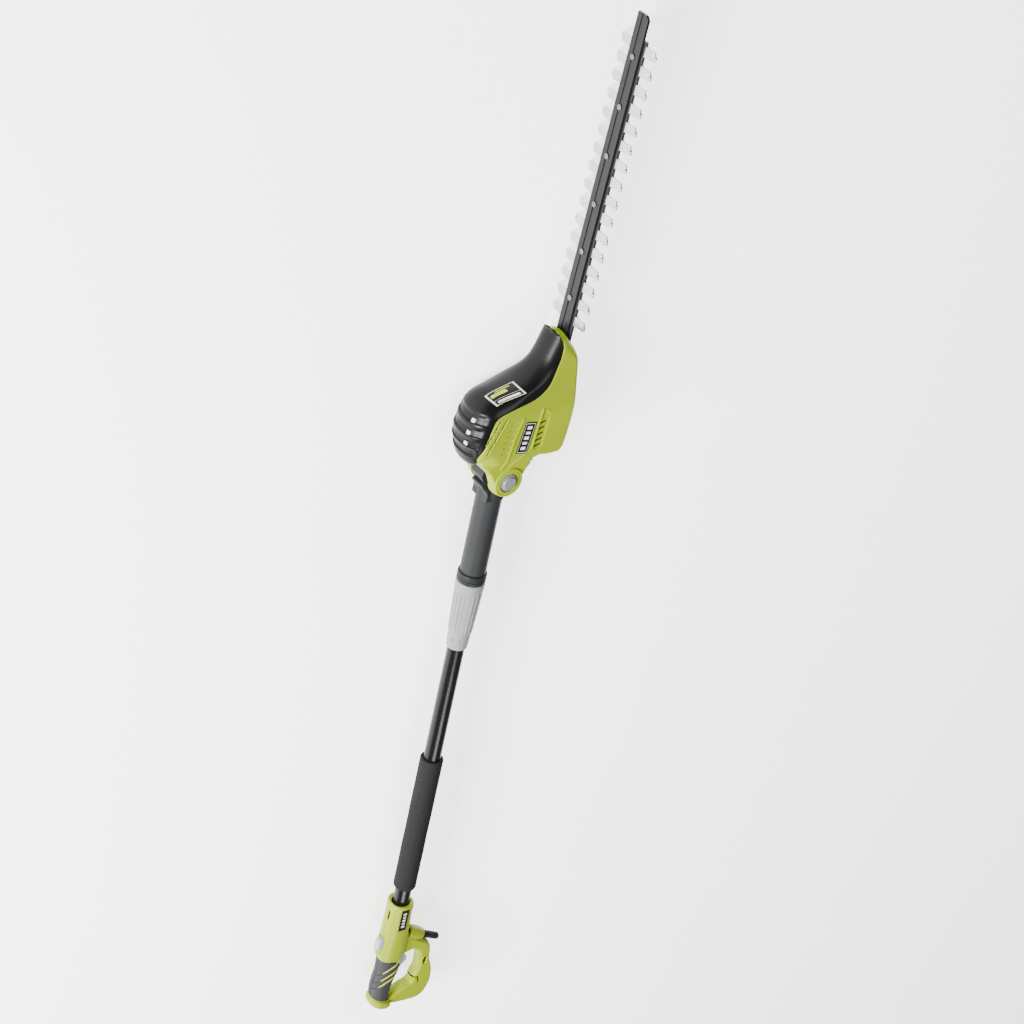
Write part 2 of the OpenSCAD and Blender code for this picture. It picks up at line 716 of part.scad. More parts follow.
module lock_spring() {
    color("#999999") on_pole() translate([button_x, 7.1, 0]) rotate([-90, 0, 0]) difference() {
        cylinder(h = 1.6, r = 3);
        translate([0, 0, -1]) cylinder(h = 6, r = 2);
    }
}
module switch_body() {
    color("#30343a") on_pole() translate([-983, -7, -9]) cube([81, 14, 18]);
}
module lead_boss() {
    color("yellowgreen") on_pole() protector_seat() difference() {
        union() {
            translate([0, 0, 6.1]) cylinder(h = 18, r = boss_r);
            translate([0, 0, 24.1]) cylinder(h = boss_len - 24.1, r1 = boss_r, r2 = boss_r - 2.5);
        }
        cylinder(h = 60, r = protector_r + fit);
    }
}
module bend_protector() {
    color("#141414") on_pole() protector_seat() difference() {
        union() {
            translate([0, 0, 14]) cylinder(h = 26, r = protector_r);
            translate([0, 0, 40]) cylinder(h = 8, r1 = protector_r, r2 = protector_d / 2);
            translate([0, 0, 48]) cylinder(h = protector_len - 48, r = protector_d / 2);
        }
        translate([0, 0, 10]) cylinder(h = protector_len, r = lead_d / 2);
    }
}
module lead_clamp() {
    color("#1d1d1d") on_pole() difference() {
        translate([-918, -12.5, -10]) cube([12, 4.5, 20]);
        for (side = [-1, 1]) rotate([90, 0, 0]) translate([-912, side * 7, 0]) cylinder(h = 20, r = 1.5);
    }
}
module lead_terminals() {
    color("#e6e1d0") on_pole() translate([-1044, 0, -8]) cube([36, 12, 16]);
}
module end_cap() {
    color("#9c9ea0") on_pole() difference() {
        rod_x(handle_back - 4, handle_back - 0.05, 20, 64);
        rod_x(handle_back - 6, handle_back + 1, 9, 48);
        translate([handle_back - 6, -22, -30]) cube([10, 14, 60]);
    }
}
module handle_badge() {
    color("#1c1c1c") on_pole() translate([-879, -5, handle_half + 0.02]) cube([45, 14, 0.8]);
}
module handle_screws() {
    for (p = handle_bosses) color("#555555") on_pole() rod_z(p[0], p[1], -10, 10, 1.5, 24);
}
module tube_bolt() {
    color("silver") on_pole() rod_z(tube_back + 14, 0, -18, 18, 2.5);
}
module coiled_lead() {
    color("#101010") on_pole() tube_x(tube_back + 20, -330, 8, 4);
}

head_shell_right();
head_shell_left();
head_cover();
head_badge();
side_badges();
ear_right();
ear_left();
knuckle_cup();
pivot_pin();
pivot_button();
button_spring();
blade_bar();
blade_screws();
blade_upper();
blade_lower();
gear_case();
gear_plate();
motor_can();
end_bell();
brush_holders();
motor_shaft();
armature();
commutator();
cooling_fan();
motor_bearings();
drive_gear();
crank_shaft();
crank_bearings();
head_screws();
sleeve();
sleeve_flange();
inner_tube();
guide_shoe();
twist_collar();
collet();
outer_tube();
foam_grip();
handle_shell_right();
handle_shell_left();
grip_right();
grip_left();
grip_stripes();
trigger();
trigger_spring();
lock_button();
lock_spring();
switch_body();
lead_boss();
bend_protector();
lead_clamp();
lead_terminals();
end_cap();
handle_badge();
handle_screws();
tube_bolt();
coiled_lead();
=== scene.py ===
import json
import math

import bmesh
import bpy
import numpy as np
from mathutils import Matrix, Vector


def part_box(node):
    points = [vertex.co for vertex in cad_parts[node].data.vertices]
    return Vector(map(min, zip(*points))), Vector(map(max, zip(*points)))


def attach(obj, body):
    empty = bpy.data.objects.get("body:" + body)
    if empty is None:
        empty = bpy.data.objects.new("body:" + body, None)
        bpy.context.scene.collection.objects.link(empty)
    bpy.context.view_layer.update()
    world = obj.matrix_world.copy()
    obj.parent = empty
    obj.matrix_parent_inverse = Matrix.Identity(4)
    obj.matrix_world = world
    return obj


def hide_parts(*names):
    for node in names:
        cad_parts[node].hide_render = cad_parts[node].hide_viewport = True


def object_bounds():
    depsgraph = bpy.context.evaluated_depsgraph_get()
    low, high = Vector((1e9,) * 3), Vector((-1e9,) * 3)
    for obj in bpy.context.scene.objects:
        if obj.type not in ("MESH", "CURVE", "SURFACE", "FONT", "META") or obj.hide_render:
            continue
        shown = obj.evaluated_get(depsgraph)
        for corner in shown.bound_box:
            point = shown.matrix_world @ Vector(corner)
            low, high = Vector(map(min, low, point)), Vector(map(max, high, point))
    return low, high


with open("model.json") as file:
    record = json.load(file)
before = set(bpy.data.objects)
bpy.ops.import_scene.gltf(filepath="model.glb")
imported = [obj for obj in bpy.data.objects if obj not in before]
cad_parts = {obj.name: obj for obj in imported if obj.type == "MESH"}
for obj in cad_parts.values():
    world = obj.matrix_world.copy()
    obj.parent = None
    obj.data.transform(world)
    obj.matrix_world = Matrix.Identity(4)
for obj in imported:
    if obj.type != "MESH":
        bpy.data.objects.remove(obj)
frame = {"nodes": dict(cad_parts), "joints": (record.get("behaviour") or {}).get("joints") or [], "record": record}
cad_low, cad_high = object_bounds()
NODES = frame["nodes"]
JOINTS = {j["name"]: j for j in frame["joints"]}
MM = 0.001

# ---------------------------------------------------------------- frame
pin_low, pin_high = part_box("pivot_pin")
TILT_X = 0.5 * (pin_low.x + pin_high.x)
TILT_Y = 0.5 * (pin_low.y + pin_high.y)
tube_low, tube_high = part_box("outer_tube")
AXIS_Z = 0.5 * (tube_low.z + tube_high.z)
BLADE_DIR = np.array(JOINTS["upper_blade"]["axis"], float)


TILT_FROM_DATUM = 23.0   # mm from the datum of the outlines below to the tilt axis


def head_to_row(p):
    """Turns points in mm in the head's own frame (X along the blade) into metres in the row's frame."""
    x, y, z = (p[..., 0] - TILT_FROM_DATUM) * MM, p[..., 1] * MM, p[..., 2] * MM
    c, s = BLADE_DIR[0], -BLADE_DIR[1]
    return np.stack([TILT_X + c * x + s * y, TILT_Y - s * x + c * y, AXIS_Z + z], -1)


def pole_to_row(p):
    """Turns points in mm along the pole's axis from the datum into metres in the row's frame."""
    return p * MM + np.array([TILT_X - TILT_FROM_DATUM * MM, TILT_Y, AXIS_Z])


# ---------------------------------------------------------------- camera
VIEW_AZIMUTH, VIEW_ABOVE, VIEW_ROLL = 31.97, 41.60, 12.63
VIEW_DISTANCE, LENS = 3.898, 90.75
TARGET_BACK, TARGET_LOW = 0.087, 0.052   # m from the tilt axis to the point the camera looks at
SENSOR_WIDTH = 36


def add_camera():
    """Camera on the tool's right and front side, rolled so that the pole leans a little to the right."""
    az, up = math.radians(VIEW_AZIMUTH), math.radians(VIEW_ABOVE)
    toward = Vector((math.sin(az), math.cos(az) * math.sin(up), math.cos(az) * math.cos(up)))
    along = Vector((1, 0, 0))
    high = (along - toward * along.dot(toward)).normalized()
    side = high.cross(toward)
    roll = math.radians(VIEW_ROLL)
    image_up = high * math.cos(roll) - side * math.sin(roll)
    image_right = side * math.cos(roll) + high * math.sin(roll)
    target = Vector((TILT_X - TARGET_BACK, TILT_Y - TARGET_LOW, AXIS_Z))
    data = bpy.data.cameras.new("camera")
    data.lens = LENS
    data.sensor_width = SENSOR_WIDTH
    data.clip_end = 50
    cam = bpy.data.objects.new("camera", data)
    axes = Matrix((image_right, image_up, toward)).transposed().to_4x4()
    cam.matrix_world = Matrix.Translation(target + toward * VIEW_DISTANCE) @ axes
    bpy.context.scene.collection.objects.link(cam)
    bpy.context.scene.camera = cam


# ---------------------------------------------------------------- shader maths
class Sock:
    """A shader socket, or a number, with the arithmetic operators."""

    def __init__(self, tree, value):
        self.tree = tree
        self.value = value

    def _math(self, op, other=None):
        node = self.tree.nodes.new("ShaderNodeMath")
        node.operation = op
        for slot, v in enumerate((self, other)):
            if v is not None:
                self.tree.feed(node.inputs[slot], v)
        return Sock(self.tree, node.outputs[0])

    def __add__(self, o): return self._math("ADD", o)
    def __radd__(self, o): return self._math("ADD", o)
    def __sub__(self, o): return self._math("SUBTRACT", o)
    def __rsub__(self, o): return Sock(self.tree, o)._math("SUBTRACT", self)
    def __mul__(self, o): return self._math("MULTIPLY", o)
    def __rmul__(self, o): return self._math("MULTIPLY", o)
    def __truediv__(self, o): return self._math("DIVIDE", o)
    def __neg__(self): return self._math("MULTIPLY", -1.0)
    def __abs__(self): return self._math("ABSOLUTE")
    def sin(self): return self._math("SINE")

    def ramp(self, low, high):
        """0 below low, 1 above high, smooth between."""
        return self.tree.node("ShaderNodeMapRange", {"interpolation_type": "SMOOTHSTEP"},
                              Value=self, **{"From Min": low, "From Max": high})


class Tree:
    """A material's node tree with a few ways to add nodes."""

    def __init__(self, material):
        self.nodes = material.node_tree.nodes
        self.links = material.node_tree.links
        self.shader = self.nodes["Principled BSDF"]

    def feed(self, socket, value):
        if isinstance(value, Sock):
            value = value.value
        if isinstance(value, bpy.types.NodeSocket):
            self.links.new(value, socket)
        elif hasattr(socket.default_value, "__len__") and not hasattr(value, "__len__"):
            socket.default_value = [value] * len(socket.default_value)
        elif hasattr(value, "__len__") and len(value) == 3 and len(socket.default_value) == 4:
            socket.default_value = (*value, 1)
        else:
            socket.default_value = value

    def node(self, kind, settings=None, output=0, **inputs):
        """Adds a node: settings first, then its sockets by name, and gives back one output."""
        made = self.nodes.new(kind)
        for key, value in (settings or {}).items():
            setattr(made, key, value)
        for key, value in inputs.items():
            self.feed(made.inputs[key], value)
        return Sock(self, made.outputs[output])

    def place(self):
        return self.node("ShaderNodeTexCoord", output=3)

    def xyz(self, point):
        made = self.nodes.new("ShaderNodeSeparateXYZ")
        self.feed(made.inputs[0], point)
        return [Sock(self, out) for out in made.outputs]

    def noise(self, point, scale, detail=3.0, roughness=0.55):
        return self.node("ShaderNodeTexNoise", Vector=point, Scale=scale, Detail=detail, Roughness=roughness)

    def speckle(self, point, scale):
        return self.node("ShaderNodeTexVoronoi", {"feature": "F1"}, Vector=point, Scale=scale)

    def mix(self, factor, a, b):
        made = self.nodes.new("ShaderNodeMix")
        made.data_type = "RGBA"
        self.feed(made.inputs[0], factor)
        self.feed(made.inputs[6], a)
        self.feed(made.inputs[7], b)
        return Sock(self, made.outputs[2])

    def stretch(self, point, scale):
        """The point with each axis multiplied."""
        made = self.nodes.new("ShaderNodeVectorMath")
        made.operation = "MULTIPLY"
        self.feed(made.inputs[0], point)
        made.inputs[1].default_value = scale
        return Sock(self, made.outputs[0])

    def bump(self, height, strength, distance):
        made = self.nodes.new("ShaderNodeBump")
        self.feed(made.inputs["Height"], height)
        made.inputs["Strength"].default_value = strength
        made.inputs["Distance"].default_value = distance
        self.links.new(made.outputs[0], self.shader.inputs["Normal"])

    def set(self, **values):
        for key, value in values.items():
            self.feed(self.shader.inputs[key.replace("_", " ")], value)


def material(name):
    made = bpy.data.materials.new(name)
    made.use_nodes = True
    return made, Tree(made)


# ---------------------------------------------------------------- materials
def moulded(name, colour, deep, rough=0.34, grain=0.12, grain_scale=1500, wear=0.0, gloss=0.3):
    """Injection-moulded plastic: fine spark-eroded grain, faint flow mottling, slight scuffs."""
    made, t = material(name)
    p = t.place()
    mottle = t.noise(p, 9, 4)
    fine = t.noise(p, grain_scale, 2)
    scuff = t.noise(t.stretch(p, (60, 260, 260)), 1.0, 5, 0.7).ramp(0.60, 0.78)
    base = t.mix(mottle.ramp(0.3, 0.7), deep, colour)
    if wear:
        base = t.mix(scuff * wear, base, tuple(min(1, c * 1.6) for c in colour))
    t.set(Base_Color=base, Roughness=rough + (mottle - 0.5) * 0.08 + scuff * 0.08)
    t.shader.inputs["Specular IOR Level"].default_value = gloss
    t.bump(fine * 0.7 + t.speckle(p, grain_scale * 0.6) * 0.3, grain, 0.0002)
    return made


def plastic_with_painted_shade_and_glint(name, colour, deep, other, rough=0.34, gloss=0.3):
    """Moulded plastic that takes another colour where the piece marks it: painted shade, dark inside the air
    slots and the guard's eye, and a painted highlight, light grey on the crown's raised inlays."""
    made, t = material(name)
    p = t.place()
    mark = t.node("ShaderNodeAttribute", {"attribute_name": "painted_shade_and_glint"}, output=2)
    mottle = t.noise(p, 9, 4)
    fine = t.noise(p, 1500, 2)
    scuff = t.noise(t.stretch(p, (60, 260, 260)), 1.0, 5, 0.7).ramp(0.62, 0.80)
    base = t.mix(mottle.ramp(0.3, 0.7), deep, colour)
    base = t.mix(scuff * 0.05, base, tuple(c * 1.5 for c in colour))
    t.set(Base_Color=t.mix(mark.ramp(0.3, 0.7), base, other),
          Roughness=rough + (mottle - 0.5) * 0.08 + scuff * 0.08 + mark * 0.3)
    t.shader.inputs["Specular IOR Level"].default_value = gloss
    t.bump(fine * 0.7 + t.speckle(p, 900) * 0.3, 0.10, 0.0002)
    return made


def coated_tube(name, colour, rough):
    """Glossy stove coat on a drawn tube: long faint draw lines and a little orange peel."""
    made, t = material(name)
    p = t.place()
    lines = t.noise(t.stretch(p, (2, 420, 420)), 1.0, 3)
    peel = t.noise(p, 700, 2)
    rub = t.noise(t.stretch(p, (9, 60, 60)), 1.0, 6, 0.7).ramp(0.62, 0.8)
    t.set(Base_Color=t.mix(rub * 0.35, colour, (0.055, 0.055, 0.057)),
          Roughness=rough + rub * 0.14 + lines * 0.05)
    t.set(Coat_Weight=0.05, Coat_Roughness=0.08)
    t.shader.inputs["Specular IOR Level"].default_value = 0.18
    t.bump(peel * 0.6 + lines * 0.4, 0.05, 0.0002)
    return made


def metal(name, colour, rough, stretch=(8, 400, 400), dark=0.7, strength=0.08):
    """Machined or drawn metal: brush lines along one way and cloudy tarnish."""
    made, t = material(name)
    p = t.place()
    lines = t.noise(t.stretch(p, stretch), 1.0, 4, 0.65)
    cloud = t.noise(p, 30, 4)
    t.set(Base_Color=t.mix(cloud.ramp(0.35, 0.7) * 0.6, colour, tuple(c * dark for c in colour)),
          Metallic=1.0, Roughness=rough + (lines - 0.5) * 0.16 + cloud * 0.06)
    t.bump(lines, strength, 0.0002)
    return made


def foam(name):
    """Closed-cell foam: skin of small open pits, dull and slightly uneven."""
    made, t = material(name)
    p = t.place()
    cells = t.speckle(p, 1100)
    lumps = t.noise(p, 240, 4, 0.6)
    t.set(Base_Color=t.mix(cells.ramp(0.1, 0.7), (0.004, 0.004, 0.0042), (0.013, 0.013, 0.0135)),
          Roughness=0.80 + (lumps - 0.5) * 0.2)
    t.shader.inputs["Specular IOR Level"].default_value = 0.06
    t.bump(cells * 0.6 + lumps * 0.8, 0.5, 0.0005)
    return made


def grip_rubber(name, colour):
    """Soft overmould with a diamond net of fine raised ribs."""
    made, t = material(name)
    p = t.place()
    x, y, z = t.xyz(p)
    net = ((x + y) * 1900).sin() * ((x - y) * 1900).sin()
    fine = t.noise(p, 1800, 2)
    worn = t.noise(p, 45, 4).ramp(0.5, 0.8)
    t.set(Base_Color=t.mix(worn * 0.5, colour, tuple(c * 1.45 for c in colour)), Roughness=0.62 + worn * 0.08)
    t.shader.inputs["Specular IOR Level"].default_value = 0.2
    t.bump(net.ramp(0.05, 0.35) * 0.8 + fine * 0.2, 0.35, 0.0004)
    return made


def blade_steel(name, bar_half):
    """Blackened blade body with ground, scratched bright teeth beyond the bar."""
    made, t = material(name)
    p = t.place()
    x, y, z = t.xyz(p)
    reach = abs(z - AXIS_Z)
    edge = (reach + t.noise(p, 160, 3) * 0.0012).ramp(bar_half, bar_half + 0.0014)
    ground = t.noise(t.stretch(p, (900, 40, 60)), 1.0, 4, 0.7)
    smear = t.noise(p, 90, 5, 0.65).ramp(0.45, 0.75)
    bright = t.mix(smear * 0.45, (0.50, 0.51, 0.52), (0.30, 0.31, 0.32))
    t.set(Base_Color=t.mix(edge, (0.020, 0.020, 0.022), bright), Metallic=0.35 + edge * 0.6,
          Roughness=0.42 - edge * 0.14 + (ground - 0.5) * 0.14)
    t.bump(ground, 0.12, 0.0003)
    return made


def copper_windings(name):
    """Enamelled copper wire laid round the motor's axis."""
    made, t = material(name)
    p = t.place()
    x, y, z = t.xyz(p)
    wire = (y * 9000).sin()
    # Painted shade: the colour darkens to the low brown in the grooves between the wire's turns, where the bump is
    # lowest.
    t.set(Base_Color=t.mix(wire.ramp(-0.6, 0.6), (0.25, 0.09, 0.03), (0.72, 0.33, 0.13)),
          Metallic=0.9, Roughness=0.33 + wire * 0.05)
    t.bump(wire, 0.3, 0.0003)
    return made


def printed_plate(name, field, marks):
    """Printed film: thin line frames and plain bars in place of any wording, laid out by the piece's own
    coordinates along and across it. Each mark is its colour, middle, half size and line width."""
    made, t = material(name)
    p = t.place()
    u = t.node("ShaderNodeAttribute", {"attribute_name": "print_u"}, output=2)
    v = t.node("ShaderNodeAttribute", {"attribute_name": "print_v"}, output=2)
    base = field
    for ink, cu, cv, hu, hv, line in marks:
        inside = (hu - abs(u - cu)).ramp(0, 0.012) * (hv - abs(v - cv)).ramp(0, 0.02)
        if line:
            hollow = (hu - line - abs(u - cu)).ramp(0, 0.012) * (hv - line * 1.6 - abs(v - cv)).ramp(0, 0.02)
            inside = inside - hollow
        base = t.mix(inside, base, ink)
    film = t.noise(p, 900, 2)
    t.set(Base_Color=base, Roughness=0.34 + film * 0.08)
    t.shader.inputs["Specular IOR Level"].default_value = 0.2
    t.bump(film, 0.04, 0.0001)
    return made


def floor_paper(name):
    """Pale matt studio floor with a barely visible tooth."""
    made, t = material(name)
    p = t.place()
    t.set(Base_Color=t.mix(t.noise(p, 3, 2), (0.90, 0.90, 0.90), (0.93, 0.93, 0.93)), Roughness=0.75)
    t.shader.inputs["Specular IOR Level"].default_value = 0.2
    t.shader.inputs["Emission Color"].default_value = (1, 1, 1, 1)
    t.shader.inputs["Emission Strength"].default_value = 2.0
    t.bump(t.noise(p, 500, 3), 0.03, 0.0003)
    return made


LIME = (0.205, 0.255, 0.002)
LIME_DEEP = (0.180, 0.228, 0.002)
BLACK, BLACK_DEEP = (0.0030, 0.0030, 0.0034), (0.0022, 0.0022, 0.0022)
# Painted shade: the dark laid inside the air slots and in the guard's eye and hook slot.
SLOT_PAINTED_SHADE = (0.004, 0.004, 0.003)
# Light grey painted on the crown's raised inlays: a painted highlight for the glints on them.
TAB_PAINTED_GLINT = (0.50, 0.50, 0.50)
CREAM = (0.55, 0.56, 0.40)
PRINT_WHITE = (0.62, 0.62, 0.62)
PRINT_LIME = (0.42, 0.50, 0.02)
FILM_BLACK = (0.004, 0.004, 0.004)
M = {
    "lime": moulded("lime_shell", LIME, LIME_DEEP, 0.36, 0.10, wear=0.04, gloss=0.2),
    "lime_painted_slot_shade": plastic_with_painted_shade_and_glint("lime_painted_slot_shade", LIME, LIME_DEEP, SLOT_PAINTED_SHADE, 0.36, 0.2),
    # A lighter copy of the lime: on the ears a painted highlight standing for their lit top faces; the grip's
    # flashes take it as well.
    "bright": moulded("bright_lime", (0.42, 0.47, 0.002), (0.38, 0.43, 0.002), 0.34, 0.08),
    "black": moulded("black_cover", BLACK, BLACK_DEEP, 0.26, 0.03, gloss=0.12),
    "crown": plastic_with_painted_shade_and_glint("black_crown_painted_glints", BLACK, BLACK_DEEP, TAB_PAINTED_GLINT, 0.36, 0.12),
    "side_print": printed_plate("side_print", FILM_BLACK, [(PRINT_WHITE, 0.5, 0.5, 0.475, 0.44, 0.012)] + [
        (PRINT_WHITE, 0.17 + 0.165 * i, 0.5, 0.055 - 0.012 * (i % 2), 0.22, 0) for i in range(5)]),
    "handle_print": printed_plate("handle_print", FILM_BLACK, [
        (PRINT_WHITE, 0.20 + 0.15 * i, 0.5, 0.05 - 0.012 * (i % 2), 0.22, 0) for i in range(5)]),
    "cover_print": printed_plate("cover_print", FILM_BLACK, [
        (CREAM, 0.5, 0.5, 0.48, 0.48, 0.03), (CREAM, 0.36, 0.5, 0.012, 0.48, 0),
        (PRINT_LIME, 0.66, 0.62, 0.10, 0.26, 0), (PRINT_LIME, 0.84, 0.45, 0.03, 0.24, 0),
        (PRINT_WHITE, 0.19, 0.5, 0.07, 0.36, 0), (FILM_BLACK, 0.66, 0.62, 0.012, 0.20, 0)]),
    "sleeve": moulded("grey_sleeve", (0.0165, 0.0170, 0.0175), (0.0135, 0.0140, 0.0145), 0.45, 0.16,
                      wear=0.10, gloss=0.12),
    "flange": moulded("grey_flange", (0.012, 0.0125, 0.013), (0.010, 0.0105, 0.011), 0.45, 0.16, gloss=0.1),
    "collar": moulded("light_grey", (0.165, 0.168, 0.172), (0.140, 0.142, 0.146), 0.40, 0.14, wear=0.06),
    "foot": moulded("foot_grey", (0.15, 0.152, 0.155), (0.12, 0.122, 0.125), 0.42, 0.14),
    "button": moulded("button_grey", (0.155, 0.157, 0.163), (0.12, 0.122, 0.127), 0.33, 0.10),
    "key": moulded("key_grey", (0.28, 0.285, 0.29), (0.24, 0.245, 0.25), 0.36, 0.10),
    "white": moulded("white_plastic", (0.72, 0.72, 0.70), (0.66, 0.66, 0.64), 0.40, 0.10),
    "dark": moulded("dark_plastic", (0.006, 0.006, 0.0065), (0.005, 0.005, 0.005), 0.48, 0.15, gloss=0.15),
    "rubber": moulded("lead_rubber", (0.004, 0.004, 0.004), (0.003, 0.003, 0.003), 0.55, 0.20, gloss=0.2),
    "grip": grip_rubber("grip_rubber", (0.022, 0.023, 0.024)),
    "tube": coated_tube("black_tube", (0.003, 0.003, 0.0035), 0.20),
    "bar": coated_tube("black_bar", (0.005, 0.005, 0.0055), 0.30),
    "foam": foam("foam"),
    "alu": metal("drawn_aluminium", (0.72, 0.73, 0.75), 0.30),
    "steel": metal("bright_steel", (0.60, 0.61, 0.63), 0.28, (400, 400, 8)),
    "gear": metal("sintered_steel", (0.30, 0.31, 0.32), 0.45, (300, 300, 300), strength=0.2),
    "cast": metal("die_cast", (0.55, 0.56, 0.57), 0.50, (200, 200, 200), strength=0.3),
    "screw": metal("dark_screw", (0.16, 0.16, 0.17), 0.36, (300, 300, 300)),
    "blade": blade_steel("blade_steel", 0.0165),
    "copper": copper_windings("copper_windings"),
}
NODE_LOOKS = {
    # The ears get the lighter lime copy as a painted highlight of their lit top faces.
    "bright": ["ear_right", "ear_left", "grip_stripes"],
    "lime": ["head_shell_right", "head_shell_left", "handle_shell_right", "handle_shell_left", "lead_boss",
             "knuckle_cup"],
    "black": ["head_cover"],
    "sleeve": ["sleeve"],
    "flange": ["sleeve_flange"],
    "collar": ["twist_collar", "end_cap"],
    "button": ["pivot_button"],
    "key": ["trigger", "lock_button"],
    "white": ["collet", "guide_shoe", "lead_terminals"],
    "dark": ["switch_body", "end_bell", "cooling_fan", "lead_clamp", "side_badges", "handle_badge",
             "head_badge"],
    "rubber": ["bend_protector", "coiled_lead"],
    "grip": ["grip_right", "grip_left"],
    "tube": ["outer_tube"],
    "bar": ["blade_bar"],
    "foam": ["foam_grip"],
    "alu": ["inner_tube"],
    "steel": ["pivot_pin", "motor_shaft", "crank_shaft", "motor_bearings", "crank_bearings", "motor_can",
              "button_spring", "trigger_spring", "lock_spring"],
    "gear": ["drive_gear"],
    "cast": ["gear_case", "gear_plate"],
    "screw": ["blade_screws", "head_screws", "handle_screws", "tube_bolt"],
    "blade": ["blade_upper", "blade_lower"],
    "copper": ["armature", "commutator", "brush_holders"],
}


BODY_OF = {node: body for body, nodes in frame["record"]["behaviour"]["bodies"].items() for node in nodes}
LOOK_OF = {name: look for look, names in NODE_LOOKS.items() for name in names}


def dress_nodes():
    for look, names in NODE_LOOKS.items():
        for name in names:
            mesh = NODES[name].data
            mesh.materials.clear()
            mesh.materials.append(M[look])


# ---------------------------------------------------------------- numpy surfaces
def smooth(u):
    """0 below 0, 1 above 1, and the cubic 3u^2 - 2u^3 between."""
    u = np.clip(u, 0, 1)
    return u * u * (3 - 2 * u)


def rounded(corners, steps=10):
    """Open path through [x, y, cut] corners: each corner is replaced by a parabola that starts and
    ends the cut's length away from it, or at half the side where that is shorter."""
    out = [np.array([corners[0][:2]], float)]
    for before, here, after in zip(corners[:-2], corners[1:-1], corners[2:]):
        p = np.array(here[:2], float)
        a, b = np.array(before[:2]) - p, np.array(after[:2]) - p
        la, lb = np.linalg.norm(a), np.linalg.norm(b)
        start = p + a / la * min(here[2], 0.48 * la)
        end = p + b / lb * min(here[2], 0.48 * lb)
        t = np.linspace(0, 1, steps)[:, None]
        out.append((1 - t) ** 2 * start + 2 * t * (1 - t) * p + t ** 2 * end)
    out.append(np.array([corners[-1][:2]], float))
    return np.concatenate(out)


def arc(centre, radius, from_deg, to_deg, count=24):
    """Points on a circle between two angles."""
    a = np.radians(np.linspace(from_deg, to_deg, count))
    return np.stack([centre[0] + radius * np.cos(a), centre[1] + radius * np.sin(a)], -1)


def lengths(path):
    """Fraction of the path's length at each of its points."""
    step = np.r_[0, np.cumsum(np.linalg.norm(np.diff(path, axis=0), axis=1))]
    return step / step[-1]


def along(path, u):
    """Points at the fractions u of the path's length."""
    f = lengths(path)
    return np.stack([np.interp(u, f, path[:, k]) for k in range(path.shape[1])], -1)


def fraction_at(path, point):
    """Fraction of the length at the path's point nearest to the given one."""
    return lengths(path)[np.argmin(np.linalg.norm(path - np.array(point), axis=1))]


def gap_to(points, path):
    """Shortest distance from each point to the path's segments."""
    best = np.full(points.shape[:-1], 1e9)
    for start, end in zip(path[:-1], path[1:]):
        run = end - start
        t = np.clip(((points - start) @ run) / max(run @ run, 1e-12), 0, 1)
        best = np.minimum(best, np.linalg.norm(points - start - t[..., None] * run, axis=-1))
    return best


def normals_of(grid, wrap=False):
    """Unit normals of a grid of points: the cross product of its differences both ways."""
    if wrap:
        du = np.roll(grid, -1, 0) - np.roll(grid, 1, 0)
    else:
        du = np.gradient(grid, axis=0)
    dv = np.gradient(grid, axis=1)
    n = np.cross(du, dv)
    size = np.linalg.norm(n, axis=-1, keepdims=True)
    return n / np.maximum(size, 1e-9)


def quads(nu, nv, wrap_u=False, wrap_v=False, first=0, flip=False):
    """Four-cornered faces of a grid of nu by nv points."""
    a, b = np.meshgrid(np.arange(nu if wrap_u else nu - 1), np.arange(nv if wrap_v else nv - 1),
                       indexing="ij")
    a1, b1 = (a + 1) % nu, (b + 1) % nv
    f = np.stack([a * nv + b, a1 * nv + b, a1 * nv + b1, a * nv + b1], -1).reshape(-1, 4) + first
    return f[:, ::-1] if flip else f


def piece(name, points, faces, look, body, replaced=(), inside=None, sharp=50, attributes=None):
    """Mesh piece from points in metres and quads. Faces are turned outwards by the sign of the sum of
    each face's normal times its offset from an inside point; doubles at seams and poles are merged."""
    points, faces = np.asarray(points, float).reshape(-1, 3), np.asarray(faces)
    inside = points.mean(0) if inside is None else np.asarray(inside)
    corner = points[faces]
    normal = np.cross(corner[:, 2] - corner[:, 0], corner[:, 3] - corner[:, 1])
    if np.sum(normal * (corner.mean(1) - inside)) < 0:
        faces = faces[:, ::-1]
    mesh = bpy.data.meshes.new(name)
    mesh.from_pydata(points.tolist(), [], faces.tolist())
    for key, values in (attributes or {}).items():
        layer = mesh.attributes.new(key, "FLOAT", "POINT")
        layer.data.foreach_set("value", np.asarray(values, float).ravel())
    work = bmesh.new()
    work.from_mesh(mesh)
    bmesh.ops.remove_doubles(work, verts=work.verts, dist=2e-6)
    bmesh.ops.dissolve_degenerate(work, edges=work.edges, dist=1e-7)
    work.to_mesh(mesh)
    work.free()
    mesh.shade_smooth()
    mesh.set_sharp_from_angle(angle=math.radians(sharp))
    mesh.materials.append(M[look])
    made = bpy.data.objects.new(name, mesh)
    bpy.context.scene.collection.objects.link(made)
    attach(made, body)
    if replaced:
        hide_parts(*replaced)
    return made


def walled(grid, wall, sign):
    """Points and faces of a closed wall: the grid, a copy set back along the normals by the wall's
    thickness, and strips that join their four edges. sign turns the normals outwards."""
    nu, nv = grid.shape[:2]
    back = grid - sign * wall * normals_of(grid)
    points = np.concatenate([grid.reshape(-1, 3), back.reshape(-1, 3)])
    edge = np.concatenate([np.arange(nv), np.arange(1, nu) * nv + nv - 1,
                           (nu - 1) * nv + np.arange(nv - 2, -1, -1), np.arange(nu - 2, 0, -1) * nv])
    after = np.roll(edge, -1)
    rim = np.stack([after, edge, edge + nu * nv, after + nu * nv], -1)
    return points, np.concatenate([quads(nu, nv), quads(nu, nv, first=nu * nv, flip=True), rim])


